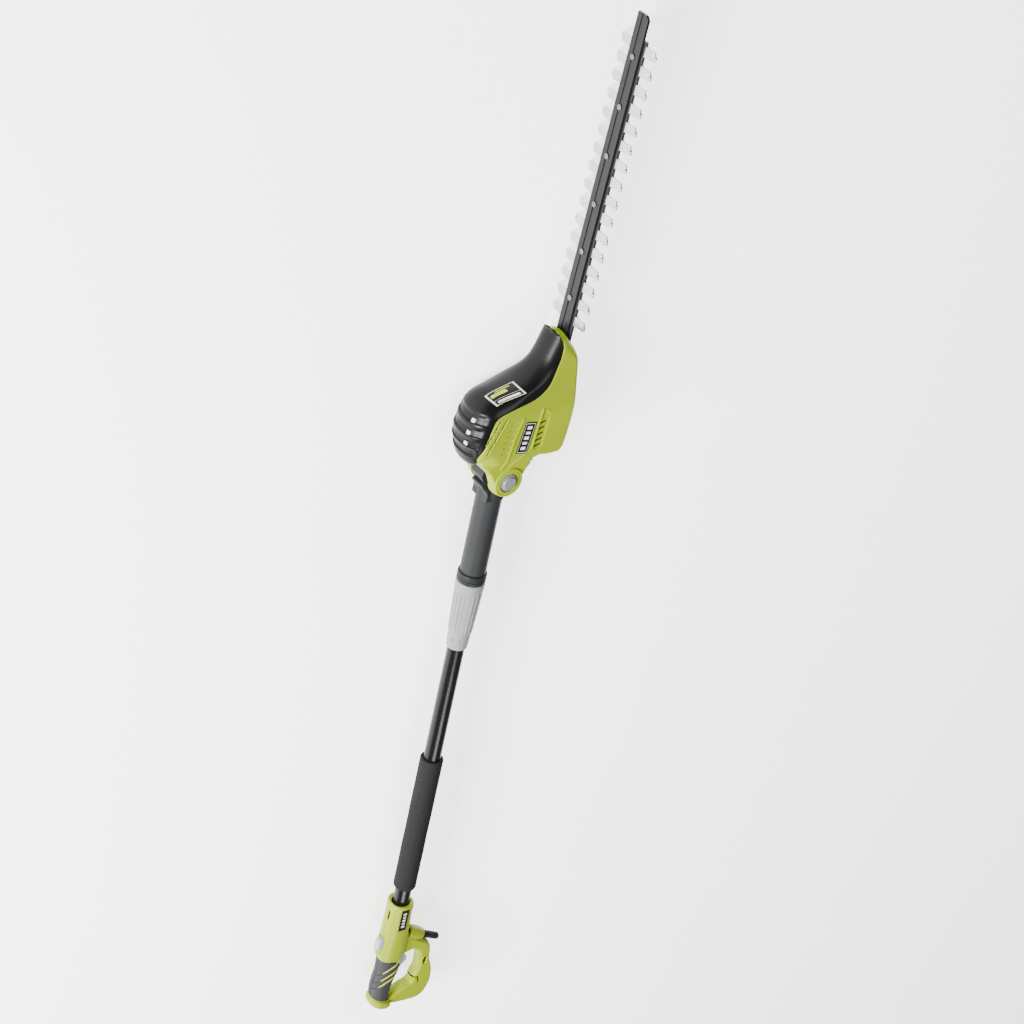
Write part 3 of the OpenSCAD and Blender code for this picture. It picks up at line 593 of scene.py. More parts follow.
def turned(x, r, count=96, shape=None):
    """Grid of a solid of revolution about the pole's axis: at each station x the radius r, with
    shape(x, angle) added to it."""
    a = np.linspace(0, 2 * math.pi, count, endpoint=False)
    xx, aa = np.meshgrid(x, a, indexing="ij")
    rr = np.repeat(np.asarray(r, float)[:, None], count, 1)
    if shape is not None:
        rr = rr + shape(xx, aa)
    return np.stack([xx, rr * np.cos(aa), rr * np.sin(aa)], -1)


def softened(node, width, segments=2, look=None, sharp=30):
    """The CAD node's own mesh, merged and given rounded edges by a Bevel modifier."""
    source = NODES[node]
    work = bmesh.new()
    work.from_mesh(source.data)
    bmesh.ops.remove_doubles(work, verts=work.verts, dist=1e-6)
    bmesh.ops.dissolve_limit(work, angle_limit=math.radians(0.5), verts=work.verts, edges=work.edges)
    mesh = bpy.data.meshes.new(node + "_soft")
    work.to_mesh(mesh)
    work.free()
    mesh.shade_smooth()
    mesh.set_sharp_from_angle(angle=math.radians(sharp))
    mesh.materials.clear()
    mesh.materials.append(M[look or LOOK_OF[node]])
    made = bpy.data.objects.new(node + "_soft", mesh)
    bpy.context.scene.collection.objects.link(made)
    bevel = made.modifiers.new("edges", "BEVEL")
    bevel.width = width * MM
    bevel.segments = segments
    bevel.limit_method = "ANGLE"
    bevel.angle_limit = math.radians(sharp)
    bevel.harden_normals = True
    bevel.use_clamp_overlap = True
    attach(made, BODY_OF[node])
    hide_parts(node)
    return made


# ---------------------------------------------------------------- head
EAR_R = 27.0
LOUVRES = (131.0, 111.0, 92.0, 75.0)
TAB_TURN = 0.25
FLOOR_SIDE = 39.85   # mm, most that the side lying on the floor may stand out
OPEN_SIDE = 41.0   # mm, most that the upper side may stand out
BUTTON_SIDE, PLAIN_SIDE = (2.3, 6.4), (3.6, 0.0)   # mm, height of the pivot boss and depth of its recess
NECK_LIP = -42.0   # mm, height the crown's front face comes down to
NECK_SLOT = 19.0   # mm, half width of the blade's way out
SLEEVE_BACK = -159.0
TILT = (TILT_FROM_DATUM, 0.0)
CROWN = rounded([[50.5, 58, 0], [52, 70, 12], [98, 89, 46], [159, 72.5, 26], [194, -19, 34],
                 [255, -37, 0]], 24)
BORDER = rounded([[64, 63.5, 0], [70, 67, 5], [90, 63, 12], [136, 54, 9], [144, 46, 8], [152, 24, 14],
                  [163, -14, 16], [180, -37, 16], [206, -46.5, 14], [228, -49.5, 16], [255, -47, 0]], 12)
EAR_TOP = np.concatenate([arc(TILT, EAR_R, 180, 96), rounded([
    [24, 29, 0], [38, 36, 8], [48, 48, 6], [58, 60, 4], [64, 63.5, 0]], 8)])
SIDE_TOP = np.concatenate([EAR_TOP, BORDER[1:]])
SIDE_LOW = np.concatenate([arc(TILT, EAR_R, 180, 285), rounded([[34, -27.5, 0], [45, -32, 8], [57.5, -43, 9],
    [55, -64, 12], [60, -93, 24], [120, -98, 60], [209, -92.5, 20], [226, -85, 12], [255, -58, 2],
    [255, -48, 0]], 14)])
HEAD_EDGE = np.concatenate([CROWN[::-1], EAR_TOP[-8:0:-1], SIDE_LOW])
STATIONS = [((-4, 0), (-4, 0)), ((21, 27), (24, -27)), ((38, 36), (45, -32)), ((60, 61.5), (55, -62)),
            ((90, 63), (66, -94)), ((136, 54), (122, -97)), ((152, 24), (160, -95)), ((180, -36), (205, -92)),
            ((206, -46), (241, -71)), ((255, -47), (255, -48))]


def ear_share(x, y):
    """1 on the ear, 0 on the housing, smooth between."""
    return smooth((60 - x) / 12) * smooth((60 - y) / 8) * smooth((y + 50) / 10)


def head_height(xy, boss_height, recess):
    """Half width of the head at a point: a superellipse of the distance to the outline, over a reach
    that is long at the crown and short at the ear, times the width at that station, plus the boss."""
    x, y = xy[..., 0], xy[..., 1]
    ear = ear_share(x, y)
    reach = 13 + 17 * smooth((y + 10) / 60) * (1 - smooth((x - 170) / 30))
    reach = reach + 9 * smooth((x - 165) / 40) * smooth((y + 78) / 35)
    reach = reach * (1 - ear) + 4.5 * ear
    width = 36.2 + 3.0 * smooth((x - 42) / 30) - 11.2 * smooth((x - 140) / 72)
    u = np.clip(gap_to(xy, HEAD_EDGE) / reach, 0, 1)
    full = (1 - (1 - u) ** 2.25) ** (1 / 2.25)
    low = 22.4 * ear
    z = low + (width - low) * full
    r = np.hypot(x - TILT[0], y - TILT[1])
    z = z + boss_height * (1 - smooth((r - 23.4) / 2.4)) - 0.7 * (1 - smooth(np.abs(r - 20.5) / 1.2))
    return z - recess * (1 - smooth((r - 14.9) / 0.8))


def slot_mask(xy, start, end, half, soft=0.7):
    """1 within half a width of the line from start to end, 0 beyond."""
    return 1 - smooth((gap_to(xy, np.array([start, end], float)) - half) / soft + 0.5)


def ridge(xy, path, height, width):
    """Rounded bead along a path: its height times a bell of the distance."""
    return height * np.exp(-(gap_to(xy, np.array(path, float)) / width) ** 2)


ROW_PITCH, ROW_SLOT, ROW_TURN = 21.8, 15.5, 159.5   # mm and degrees, the two rows of slots by the border


def vent_lines():
    """Start and end of each of the five air slots low on the side, and the six of the two rows."""
    five = [((82 + 9.8 * i, -30), (85.5 + 9.9 * i, -40.5)) for i in range(5)]
    c, s = math.cos(math.radians(ROW_TURN)), math.sin(math.radians(ROW_TURN))
    rows = []
    for row in range(2):
        x, y = 135 + 2 * row, 45.8 - 11.6 * row
        for start in (0.0, ROW_PITCH, 2 * ROW_PITCH):
            end = start + ROW_SLOT
            rows.append(((x + start * c, y + start * s), (x + end * c, y + end * s)))
    return five, rows


def head_side(side):
    """One half of the head with its ear: a sheet ruled between the upper and the lower edge, lifted by
    head_height, with ridges and air slots worked along its normals. A last row of points
    folds in from the front edge to NECK_SLOT from the middle, and leaves the blade's slot open."""
    n_key = len(STATIONS)
    top_at = [fraction_at(SIDE_TOP, k[0]) for k in STATIONS]
    low_at = [fraction_at(SIDE_LOW, k[1]) for k in STATIONS]
    share = [24, 18, 26, 36, 66, 24, 20, 10, 8]
    s = np.concatenate([np.linspace(i, i + 1, n, endpoint=False) for i, n in enumerate(share)]
                       + [[n_key - 1]])
    t = np.concatenate([0.10 * (1 - np.cos(np.linspace(0, math.pi / 2, 14, endpoint=False))),
                        np.linspace(0.10, 0.74, 146, endpoint=False),
                        np.linspace(0.74, 0.86, 14, endpoint=False),
                        1 - 0.14 * (1 - np.cos(np.linspace(math.pi / 2, 0, 22)))])
    keys = np.arange(n_key)
    top = along(SIDE_TOP, np.interp(s, keys, top_at))
    low = along(SIDE_LOW, np.interp(s, keys, low_at))
    xy = top[:, None] + t[None, :, None] * (low - top)[:, None]
    right = side > 0
    z = head_height(xy, *(BUTTON_SIDE if right else PLAIN_SIDE))
    five, rows = vent_lines()
    x = xy[..., 0]
    relief = -0.9 * np.exp(-(gap_to(xy, BORDER) / 1.1) ** 2)
    relief = relief + ridge(xy, [(134.5, 4), (99.7, 10.8), (63.4, 14.8), (50, 20)], 1.5, 1.7)
    relief = relief + ridge(xy, [(146, -29), (116.8, -27), (80, -25.5), (70, -14), (60, -2), (50, 6)],
                            1.5, 1.8)
    relief = relief + ridge(xy, [(146, -29), (147, -36), (141, -42), (133, -40)], 0.8, 1.5)
    relief = relief - 0.9 * slot_mask(xy, (84, -36), (134, -37), 7.5, 3.0)
    for row in range(2):
        a, b = np.array(rows[3 * row][0]), np.array(rows[3 * row + 2][1])
        side_step = np.array([0.35, 0.94]) * 3.1
        relief = relief + ridge(xy, [a + side_step, b + side_step], 0.9, 1.2)
        relief = relief + ridge(xy, [a - side_step, b - side_step], 0.9, 1.2)
    # Painted shade: dark is the colour laid into the slots where shade falls inside them, a quarter of it in the
    # six shallow slots and all of it in the deep ones.
    dark = np.zeros_like(x)
    for i in range(6):
        a = (129.5 - 10.2 * i, 13.2 + 1.1 * i)
        b = (a[0] - 3.2 + 0.35 * i, a[1] + 9.0)
        shallow = slot_mask(xy, a, b, 1.3, 1.4)
        relief = relief - 1.4 * shallow
        dark = np.maximum(dark, 0.25 * shallow)
    for a, b in five:
        cut = slot_mask(xy, a, b, 1.55)
        relief = relief - 3.0 * cut
        dark = np.maximum(dark, cut)
    for a, b in rows:
        cut = slot_mask(xy, a, b, 1.15, 0.6)
        relief = relief - 2.4 * cut
        dark = np.maximum(dark, cut)
    grid = np.concatenate([xy, z[..., None]], -1)
    n = normals_of(grid)
    n = n * np.sign(n[..., 2:] + 1e-9)
    grid = grid + n * relief[..., None]
    grid[..., 2] = np.clip(grid[..., 2], 0.06, OPEN_SIDE if right else FLOOR_SIDE) * side
    end_face = grid[-1:].copy()
    end_face[..., 2] = np.minimum(np.abs(end_face[..., 2]), NECK_SLOT) * side
    grid, dark = np.concatenate([grid, end_face]), np.concatenate([dark, dark[-1:]])
    sign = 1 if np.mean(normals_of(grid)[..., 2]) * side > 0 else -1
    points, faces = walled(grid, 2.0, sign)
    name = "right" if right else "left"
    ends = np.concatenate([dark.ravel(), dark.ravel()])
    return piece("head_side_" + name, head_to_row(points), faces, "lime_painted_slot_shade", "head",
                 ("head_shell_" + name, "ear_" + name), head_to_row(np.array([110.0, -20, -60 * side])),
                 attributes={"painted_shade_and_glint": ends})


def head_cover():
    """Black crown: a sheet from the right border over the outline to the left border. Across it the
    weight 1 - cos spaces the rows evenly round the rounded top. A last row of points drops from the
    front edge to NECK_LIP."""
    s = np.concatenate([np.linspace(0, 0.55, 190, endpoint=False), np.linspace(0.55, 1, 90)])
    border_keys = np.array([fraction_at(BORDER, p) for p in
                            [(64, 63.5), (74, 66), (100, 61), (140, 52), (174, -30), (206, -46), (255, -47)]])
    crown_keys = np.array([fraction_at(CROWN, p) for p in
                           [(50.5, 58), (54, 70), (98, 86), (150, 73), (190, -10), (212, -27), (255, -37)]])
    outer = along(CROWN, s)
    inner = along(BORDER, np.interp(s, crown_keys, border_keys))
    tau = np.linspace(-1, 1, 121)
    weight = 1 - np.cos(np.abs(tau) * math.pi / 2)
    xy = outer[:, None] + weight[None, :, None] * (inner - outer)[:, None]
    z = head_height(xy, 0, 0)
    z[:, len(tau) // 2] = 0
    tt, x = np.repeat(tau[None], len(s), 0), xy[..., 0]
    grid = np.concatenate([xy, (z * np.sign(tau))[..., None]], -1)
    n = normals_of(grid)
    n = n * np.sign(np.sum(n * (grid - np.array([110.0, -10, 0])), -1, keepdims=True))
    relief = -0.7 * np.exp(-(gap_to(xy, BORDER) / 0.9) ** 2) * (np.abs(tt) > 0.6)
    glint_tabs = np.zeros_like(x)
    for at in LOUVRES:
        lean = x - at - 4 * np.abs(tt) ** 2
        span = 1 - smooth((np.abs(tt) - 0.50) / 0.30)
        relief = relief - 2.6 * span * smooth((lean + 5.2) / 1.0) * (1 - smooth((lean - 4.2) / 8.0))
        # Painted highlight: the raised inlays are coloured light grey for the glints seen on them.
        inlay = 1 - smooth((np.abs(tt - TAB_TURN) - 0.06) / 0.01)
        inlay = inlay * (1 - smooth((np.abs(lean + 1.2) - 2.8) / 0.4)) * (at > LOUVRES[-1])
        relief = relief + 1.8 * inlay
        glint_tabs = np.maximum(glint_tabs, inlay)
    sheet = grid + n * relief[..., None]
    end_face = sheet[-1:].copy()
    end_face[..., 1] = np.minimum(end_face[..., 1], NECK_LIP)
    sheet, glint_tabs = np.concatenate([sheet, end_face]), np.concatenate([glint_tabs, glint_tabs[-1:]])
    sign = 1 if np.mean(np.sum(normals_of(sheet)[:-1] * n, -1)) > 0 else -1
    points, faces = walled(sheet, 2.0, sign)
    return piece("head_crown", head_to_row(points), faces, "crown", "head", ("head_cover",),
                 head_to_row(np.array([110.0, -40, 0])), attributes={"painted_shade_and_glint": np.tile(glint_tabs.ravel(), 2)})


def printed(name, grid, look, body, replaced, to_row, inside):
    """Thin printed film over a grid of points: the print's coordinates run 0 to 1 along each way."""
    nu, nv = grid.shape[:2]
    uu, vv = np.meshgrid(np.linspace(0, 1, nu), np.linspace(0, 1, nv), indexing="ij")
    n = normals_of(grid)
    sign = 1 if np.mean(np.sum(n * (grid - inside), -1)) > 0 else -1
    points, faces = walled(grid, 0.4, sign)
    return piece(name, to_row(points), faces, look, body, replaced, to_row(np.array(inside)),
                 attributes={"print_u": np.tile(uu.ravel(), 2), "print_v": np.tile(vv.ravel(), 2)})


def cover_label():
    """Label on the crown's front: a strip of the crown's own surface, lifted by half a millimetre."""
    low_at, high_at = fraction_at(CROWN, (179, 20)), fraction_at(CROWN, (163, 63))
    border_keys = np.array([fraction_at(BORDER, p) for p in [(140, 52), (174, -30)]])
    crown_keys = np.array([fraction_at(CROWN, p) for p in [(150, 73), (190, -10)]])
    s = np.linspace(low_at, high_at, 60)
    outer, inner = along(CROWN, s), along(BORDER, np.interp(s, crown_keys, border_keys))
    weight = 1 - np.cos(np.linspace(0.09, 0.58, 40) * math.pi / 2)
    xy = outer[:, None] + weight[None, :, None] * (inner - outer)[:, None]
    grid = np.concatenate([xy, head_height(xy, 0, 0)[..., None]], -1)
    n = normals_of(grid)
    n = n * np.sign(np.sum(n * (grid - np.array([110.0, -10, 0])), -1, keepdims=True))
    grid = np.swapaxes(grid + n * 0.55, 0, 1)[::-1]
    return printed("cover_label", grid, "cover_print", "head", ("head_badge",), head_to_row,
                   np.array([110.0, -10, 0]))


def flat_grid(middle, turn, long, wide, height, fine=(30, 12)):
    """Grid of points on a flat rectangle: its middle, turn in degrees, size and height above the seam."""
    uu, vv = np.meshgrid(np.linspace(-0.5, 0.5, fine[0]) * long, np.linspace(-0.5, 0.5, fine[1]) * wide,
                         indexing="ij")
    c, s = math.cos(math.radians(turn)), math.sin(math.radians(turn))
    return np.stack([middle[0] + c * uu - s * vv, middle[1] + s * uu + c * vv, height + 0 * uu], -1)


def side_label(side):
    """Label on one side of the head: a flat film, a little lower on the side that lies on the floor."""
    film = flat_grid((101, -9.3), -6, 53, 20, 40.35 if side > 0 else 39.95) * np.array([1, 1, side])
    printed("side_label_right" if side > 0 else "side_label_left", film, "side_print", "head",
            ("side_badges",), head_to_row, np.array([101.0, -9, 0]))


def handle_label():
    """Label on the right side of the handle: a flat film."""
    printed("handle_label", flat_grid((-856.5, 2), 0, 45, 14, 20.85), "handle_print", "handle",
            ("handle_badge",), pole_to_row, np.array([-856.0, 2, 0]))


# ---------------------------------------------------------------- pole
def sleeve_piece():
    """Grey sleeve: a revolve whose radius steps at a slanted seam, closed at both ends."""
    x = np.concatenate([[SLEEVE_BACK, SLEEVE_BACK, SLEEVE_BACK + 1.2], np.linspace(SLEEVE_BACK + 2, 10, 260),
                        [11.5, 13, 13]])
    r = np.concatenate([[12.6, 19.6, 20.4], np.full(260, 20.5), [20.3, 19.4, 2.0]])

    def seam(xx, aa):
        slant = xx + 14 - 0.55 * 20.5 * np.cos(aa) - 6 * np.sin(aa)
        step = 0.35 * smooth((slant + 0.4) / 0.8)
        line = -0.6 * np.exp(-(slant / 0.7) ** 2)
        low = smooth((xx - SLEEVE_BACK - 3) / 2) * (xx < 11)
        return (step + line) * low

    grid = turned(x, r, 128, seam)
    return piece("sleeve_body", pole_to_row(grid), quads(len(x), 128, wrap_v=True), "sleeve", "shaft",
                 ("sleeve",))


def knuckle_piece():
    """Knuckle of the tilt joint: the locking sector's outline carried across the joint, with its
    rims rounded by pulling the outer rows in, and widened towards the sleeve."""
    tx = TILT_FROM_DATUM
    outline = np.concatenate([
        arc((tx, 0), 33.5, 64, 88, 8), rounded([[24, 33.5, 0], [14, 27, 2], [10, 22, 2], [8, 28.5, 1.2],
                                               [4.5, 28.5, 2], [-6, 18.5, 8], [-21, 19.6, 0]], 8),
        [[-21, 4]], rounded([[-21, -12, 0], [0, -16, 6], [tx, -19.5, 4], [tx + 4, -19, 0]], 6),
        arc((tx, 0), 19.5, -70, 40, 16)])
    outline = along(np.concatenate([outline, outline[:1]]), np.linspace(0, 1, 241)[:-1])
    centre = outline.mean(0)
    rows = [(-14.0, 0.0), (-14.0, 0.94), (-13.6, 0.975), (-12.6, 1.0)]
    rows += [(z, 1.0) for z in np.linspace(-10, 10, 7)]
    rows += [(12.6, 1.0), (13.6, 0.975), (14.0, 0.94), (14.0, 0.0)]
    z = np.array([row[0] for row in rows])
    share = np.array([row[1] for row in rows])
    pull = np.where(share[:, None, None] > 0.5, (1 - share[:, None, None]) * 0.35, 1.0)
    flat = outline[None] + pull * (centre - outline)[None]
    spread = 1 + 0.36 * smooth((6 - flat[..., :1]) / 15)
    grid = np.concatenate([flat, z[:, None, None] * spread], -1)
    return piece("knuckle", pole_to_row(grid), quads(len(rows), 240, wrap_v=True), "sleeve", "shaft",
                 inside=pole_to_row(np.array([tx, 10.0, 0])), sharp=40)


def flange_piece():
    """Collar at the sleeve's end: a revolve with rounded rims and a shallow groove."""
    back, front = SLEEVE_BACK - 17, SLEEVE_BACK
    x = np.array([back, back, back + 0.5, back + 1.6, back + 6, back + 6.6, back + 7.6, back + 8.2, front - 3,
                  front - 1, front - 0.2, front])
    r = np.array([12.6, 21.4, 22.5, 23.0, 23.0, 22.3, 22.3, 23.0, 23.0, 22.6, 21.4, 12.6])
    return piece("flange", pole_to_row(turned(x, r, 96)), quads(len(x), 96, wrap_v=True), "flange", "shaft",
                 ("sleeve_flange",), sharp=35)


def twist_collar():
    """Clamping collar: a tapered revolve with three groups of three long finger flutes, two short
    slots near the narrow end and a rounded lip at the wide end."""
    front, back = SLEEVE_BACK - 17.5, SLEEVE_BACK - 17.5 - 124.5
    x = np.concatenate([[back, back], np.linspace(back + 0.6, back + 2, 4),
                        np.linspace(back + 3, front - 12, 210),
                        np.linspace(front - 11.5, front - 1.5, 26), [front - 0.6, front, front]])
    span = (x - back) / (front - back)
    r = np.interp(span, [0, 0.005, 0.02, 0.10, 0.20, 0.28, 0.80, 0.895, 0.91, 0.985, 0.995, 1.0],
                  [16.0, 16.3, 16.9, 17.3, 17.9, 19.4, 22.0, 22.4, 23.0, 23.0, 22.4, 21.4])
    r[0], r[-1] = 14.1, 14.1

    def flutes(xx, aa):
        u = (xx - back) / (front - back)
        along_mask = smooth((u - 0.25) / 0.06) * (1 - smooth((u - 0.84) / 0.05))
        group = (np.degrees(aa) + 180) % 120 - 60
        near = 1 - smooth((np.abs(group) - 30) / 5)
        wave = np.cos(np.radians(group) * 360 / 20)
        cut = along_mask * near * 1.5 * np.clip(0.25 - wave, 0, 1)
        pad = 0.9 * along_mask * (1 - smooth((np.abs(np.abs(group) - 60) - 14) / 5))
        slots = 0
        for at in (25, 65, 145, 185, 265, 305):
            turn = (np.degrees(aa) - at + 180) % 360 - 180
            reach = 1 - smooth((np.abs(u - 0.145) - 0.035) / 0.008)
            slots = slots + (1 - smooth((np.abs(turn) - 3.4) / 1.6)) * reach
        ring = 0.7 * np.exp(-((u - 0.215) / 0.006) ** 2)
        return -cut - pad * 0.8 - 1.6 * np.clip(slots, 0, 1) - ring

    grid = turned(x, r, 240, flutes)
    return piece("twist_collar_grip", pole_to_row(grid), quads(len(x), 240, wrap_v=True), "collar",
                 "twist_collar", ("twist_collar",), sharp=38)


def foam_piece():
    """Foam sleeve: a revolve with full rounded ends, a slightly uneven radius and faint press rings."""
    front, back = -524.0, -796.0
    ends = np.linspace(0, math.pi / 2, 9)
    x = np.concatenate([[back], back + 5 * (1 - np.cos(ends)), np.linspace(back + 7, front - 4, 150),
                        front - 3 * (1 - np.sin(ends)), [front]])
    r = np.concatenate([[14.05], 15.0 + 4.0 * np.sin(ends), np.full(150, 19.0), 16.2 + 2.8 * np.cos(ends),
                        [14.05]])

    def uneven(xx, aa):
        body = smooth((xx - back - 5) / 4) * smooth((front - 3 - xx) / 4)
        return body * (0.16 * np.sin(xx / 17 + 0.8 * np.sin(aa)) * np.cos(aa * 2 + xx / 60) - 0.12)

    made = piece("foam_sleeve", pole_to_row(turned(x, r, 96, uneven)), quads(len(x), 96, wrap_v=True), "foam",
                 "handle", ("foam_grip",), sharp=60)
    return made


# ---------------------------------------------------------------- rear handle
HANDLE_FRONT, HANDLE_BACK = -828.0, -1057.0
BODY_TOP = rounded([[HANDLE_FRONT, 18.5, 0], [HANDLE_FRONT - 3, 20.5, 2], [-895, 22.8, 30], [-934, 27.6, 12],
                    [-946, 26.2, 5], [-953, 20.3, 5], [-985, 19.3, 30], [-1012, 23.2, 30], [-1046, 21.3, 2],
                    [-1049, 25.0, 2], [-1057, 24.6, 0]], 14)
BODY_LOW = rounded([[HANDLE_FRONT, -18.5, 0], [HANDLE_FRONT - 3, -20.3, 2], [-890, -22.8, 24],
                    [-925, -24.8, 14], [-945, -21.8, 8], [-960, -18.4, 10], [-981, -20.3, 10],
                    [-998, -13.8, 16], [-1024, -8.5, 16],
                    [-1046, -10, 4], [-1049, -18.6, 3], [-1057, -18.2, 0]], 14)


def body_section(x):
    """Middle height, half height and half width of the handle's body at the stations x."""
    top = np.interp(-x, -BODY_TOP[:, 0], BODY_TOP[:, 1])
    low = np.interp(-x, -BODY_LOW[:, 0], BODY_LOW[:, 1])
    wide = 20.0 - 4.0 * smooth((-x - 948) / 8) * (1 - smooth((-x - 1045) / 4))
    return 0.5 * (top + low), 0.5 * (top - low), wide


def on_body(x, turn, lift=0.0):
    """Points on the handle's body: a superellipse of power 2.5 at station x, turned from the top (0)
    over the right side (90 degrees) to the bottom (180), pushed out by lift. Near the rear end the stations
    lean back towards the bottom."""
    mid, high, wide = body_section(x)
    c, s = np.cos(turn), np.sin(turn)
    y = mid + (high + lift) * np.sign(c) * np.abs(c) ** (2 / 2.5)
    z = (wide + lift) * np.sign(s) * np.abs(s) ** (2 / 2.5)
    return np.stack([x + 0.33 * y * smooth((-x - 1025) / 24), y, z], -1)


def handle_half(side):
    """Half of the handle's body: superellipse stations from the front, drawn in round the tube, to the
    rear under the foot, with a thin seam at the middle, a recess under the grip and an oblong hollow on
    top."""
    x = np.concatenate([[HANDLE_FRONT - 1.5, HANDLE_FRONT],
                        np.linspace(HANDLE_FRONT - 0.1, HANDLE_FRONT - 6, 10, endpoint=False),
                        np.linspace(HANDLE_FRONT - 6, HANDLE_BACK + 4, 240, endpoint=False),
                        np.linspace(HANDLE_BACK + 4, HANDLE_BACK, 8)])
    turn = np.radians(np.concatenate([np.linspace(0.25, 14, 12, endpoint=False),
                                      np.linspace(14, 179.75, 74)]))
    xx, tt = np.meshgrid(x, turn, indexing="ij")
    lift = -0.5 * (np.exp(-((np.degrees(tt)) / 2.0) ** 2) + np.exp(-((180 - np.degrees(tt)) / 2.0) ** 2))
    ring = smooth((xx - HANDLE_FRONT + 13.5) / 0.8)
    lift = lift + 0.7 * ring
    under = smooth((grip_front(tt) - xx) / 2) * smooth((xx - GRIP_BACK) / 2)
    lift = lift - 1.0 * under
    grid = on_body(xx, tt, lift)
    if side > 0:
        hole = slot_mask(np.stack([grid[..., 0], grid[..., 2]], -1), (-846, 1.8), (-861, 1.8), 2.3, 0.8)
        grid[..., 1] -= 3.5 * hole * (grid[..., 1] > 8)
    button = slot_mask(np.stack([grid[..., 0], grid[..., 2]], -1), (BUTTON_X - 10, 0), (BUTTON_X + 10, 0),
                       8.6, 1.0)
    grid[..., 1] -= 2.4 * button * (grid[..., 1] > 8)
    grid[0, :, 1:] *= TUBE_RING_R / np.maximum(np.linalg.norm(grid[1, :, 1:], axis=-1, keepdims=True), 1)
    grid[..., 2] *= side
    n = normals_of(grid)
    sign = 1 if np.mean(n[..., 2] * np.sign(grid[..., 2])) > 0 else -1
    points, faces = walled(grid, 2.2, sign)
    name = "right" if side > 0 else "left"
    return piece("handle_" + name, pole_to_row(points), faces, "lime", "handle",
                 ("handle_shell_" + name,), pole_to_row(np.array([-950.0, 0, -40 * side])), sharp=45)


BUTTON_X = -916.0     # mm, station of the lock-off button
TUBE_RING_R = 15.2    # mm, the front face's edge round the tube
GRIP_BACK = -1045.5   # mm, rear edge of the overmould


def grip_front(turn):
    """Front edge of the grip's overmould: it sweeps back from the top to the bottom."""
    d = np.degrees(turn)
    return -951 - 15 * smooth((d - 60) / 90)


def grip_half(side):
    """Soft overmould on one side: the body's surface lifted by 1.1 mm, falling to below it at its edges,
    with three diagonal channels for the lime flashes."""
    u, d = np.linspace(0, 1, 190), np.linspace(0.3, 179.7, 90)
    uu, dd = np.meshgrid(u, d, indexing="ij")
    tt = np.radians(dd)
    xx = grip_front(tt) + uu * (GRIP_BACK - grip_front(tt))
    edge = np.minimum(np.minimum(xx - GRIP_BACK, grip_front(tt) - xx), 3.0) / 3.0
    seam = np.minimum(np.minimum(dd, 180 - dd) / 2.2, 1)
    lift = -0.9 + 2.0 * np.sqrt(np.clip(edge, 0, 1)) * (0.35 + 0.65 * seam)
    lift = lift - 1.6 * flash_mask(xx, dd, 0.5)
    grid = on_body(xx, tt, lift)
    grid[..., 2] *= side
    sign = 1 if np.mean(normals_of(grid)[..., 2] * side) > 0 else -1
    points, faces = walled(grid, 0.8, sign)
    name = "right" if side > 0 else "left"
    return piece("grip_soft_" + name, pole_to_row(points), faces, "grip", "handle",
                 ("grip_" + name,),
                 pole_to_row(np.array([-1000.0, 0, -40 * side])), sharp=60)


FLASH_STARTS = (-980.0, -996.0, -1010.0)


def flash_curve(start, dd):
    """Station of a flash's middle line at each turn round the body: it leans forward towards the bottom."""
    return start + 24 * (dd - 40) / 100


def flash_width(dd):
    """Half width of a flash: widest at the middle of the side and pointed at both ends."""
    return 2.2 * np.sin(np.clip((dd - 42) / 96, 0, 1) * math.pi) ** 0.7


def flash_mask(xx, dd, grow):
    """1 inside any of the flashes."""
    inside = np.zeros_like(xx)
    for start in FLASH_STARTS:
        beyond = np.abs(xx - flash_curve(start, dd)) - flash_width(dd) - grow
        inside = np.maximum(inside, 1 - smooth(beyond / 0.8 + 0.5))
    return inside


def flashes():
    """Lime flashes in the grip: strips along their curves on both sides, with a crowned top."""
    points, faces, first = [], [], 0
    for side in (1, -1):
        for start in FLASH_STARTS:
            d, v = np.linspace(42.5, 137.5, 60), np.linspace(-1, 1, 9)
            dd, vv = np.meshgrid(d, v, indexing="ij")
            xx = flash_curve(start, dd) + vv * (flash_width(dd) + 0.15)
            grid = on_body(xx, np.radians(dd), 0.9 - 1.3 * vv ** 4)
            grid[..., 2] *= side
            sign = 1 if np.mean(normals_of(grid)[..., 2] * side) > 0 else -1
            p, f = walled(grid, 1.2, sign)
            corner = p[f]
            turn = np.cross(corner[:, 2] - corner[:, 0], corner[:, 3] - corner[:, 1])
            if np.sum(turn * (corner.mean(1) - np.array([-990.0, 0, -30 * side]))) < 0:
                f = f[:, ::-1]
            points.append(p)
            faces.append(f + first)
            first += len(p)
    return piece("grip_flashes", pole_to_row(np.concatenate(points)), np.concatenate(faces), "bright",
                 "handle", ("grip_stripes",))


LOOP_OUT = rounded([[-890, -14, 0], [-895, -18, 8], [-912, -31, 12], [-930, -57, 10], [-941, -75.5, 10],
                    [-957, -81, 8], [-978, -82, 10], [-1002, -92, 14], [-1027, -95.5, 14], [-1043, -93, 12],
                    [-1062, -85, 10], [-1070, -70, 14], [-1066, -30, 20], [-1062, -14, 0]], 16)
LOOP_IN = rounded([[-953, -8, 0], [-952, -16, 4], [-945.5, -42, 8], [-958, -57, 10], [-985, -60.5, 8],
                   [-1002, -60, 6], [-1012, -54, 6], [-1028, -53, 7], [-1031, -38, 8], [-1040, -22, 8],
                   [-1048, -8, 0]], 16)
EYE = (-980.0, -71.0)


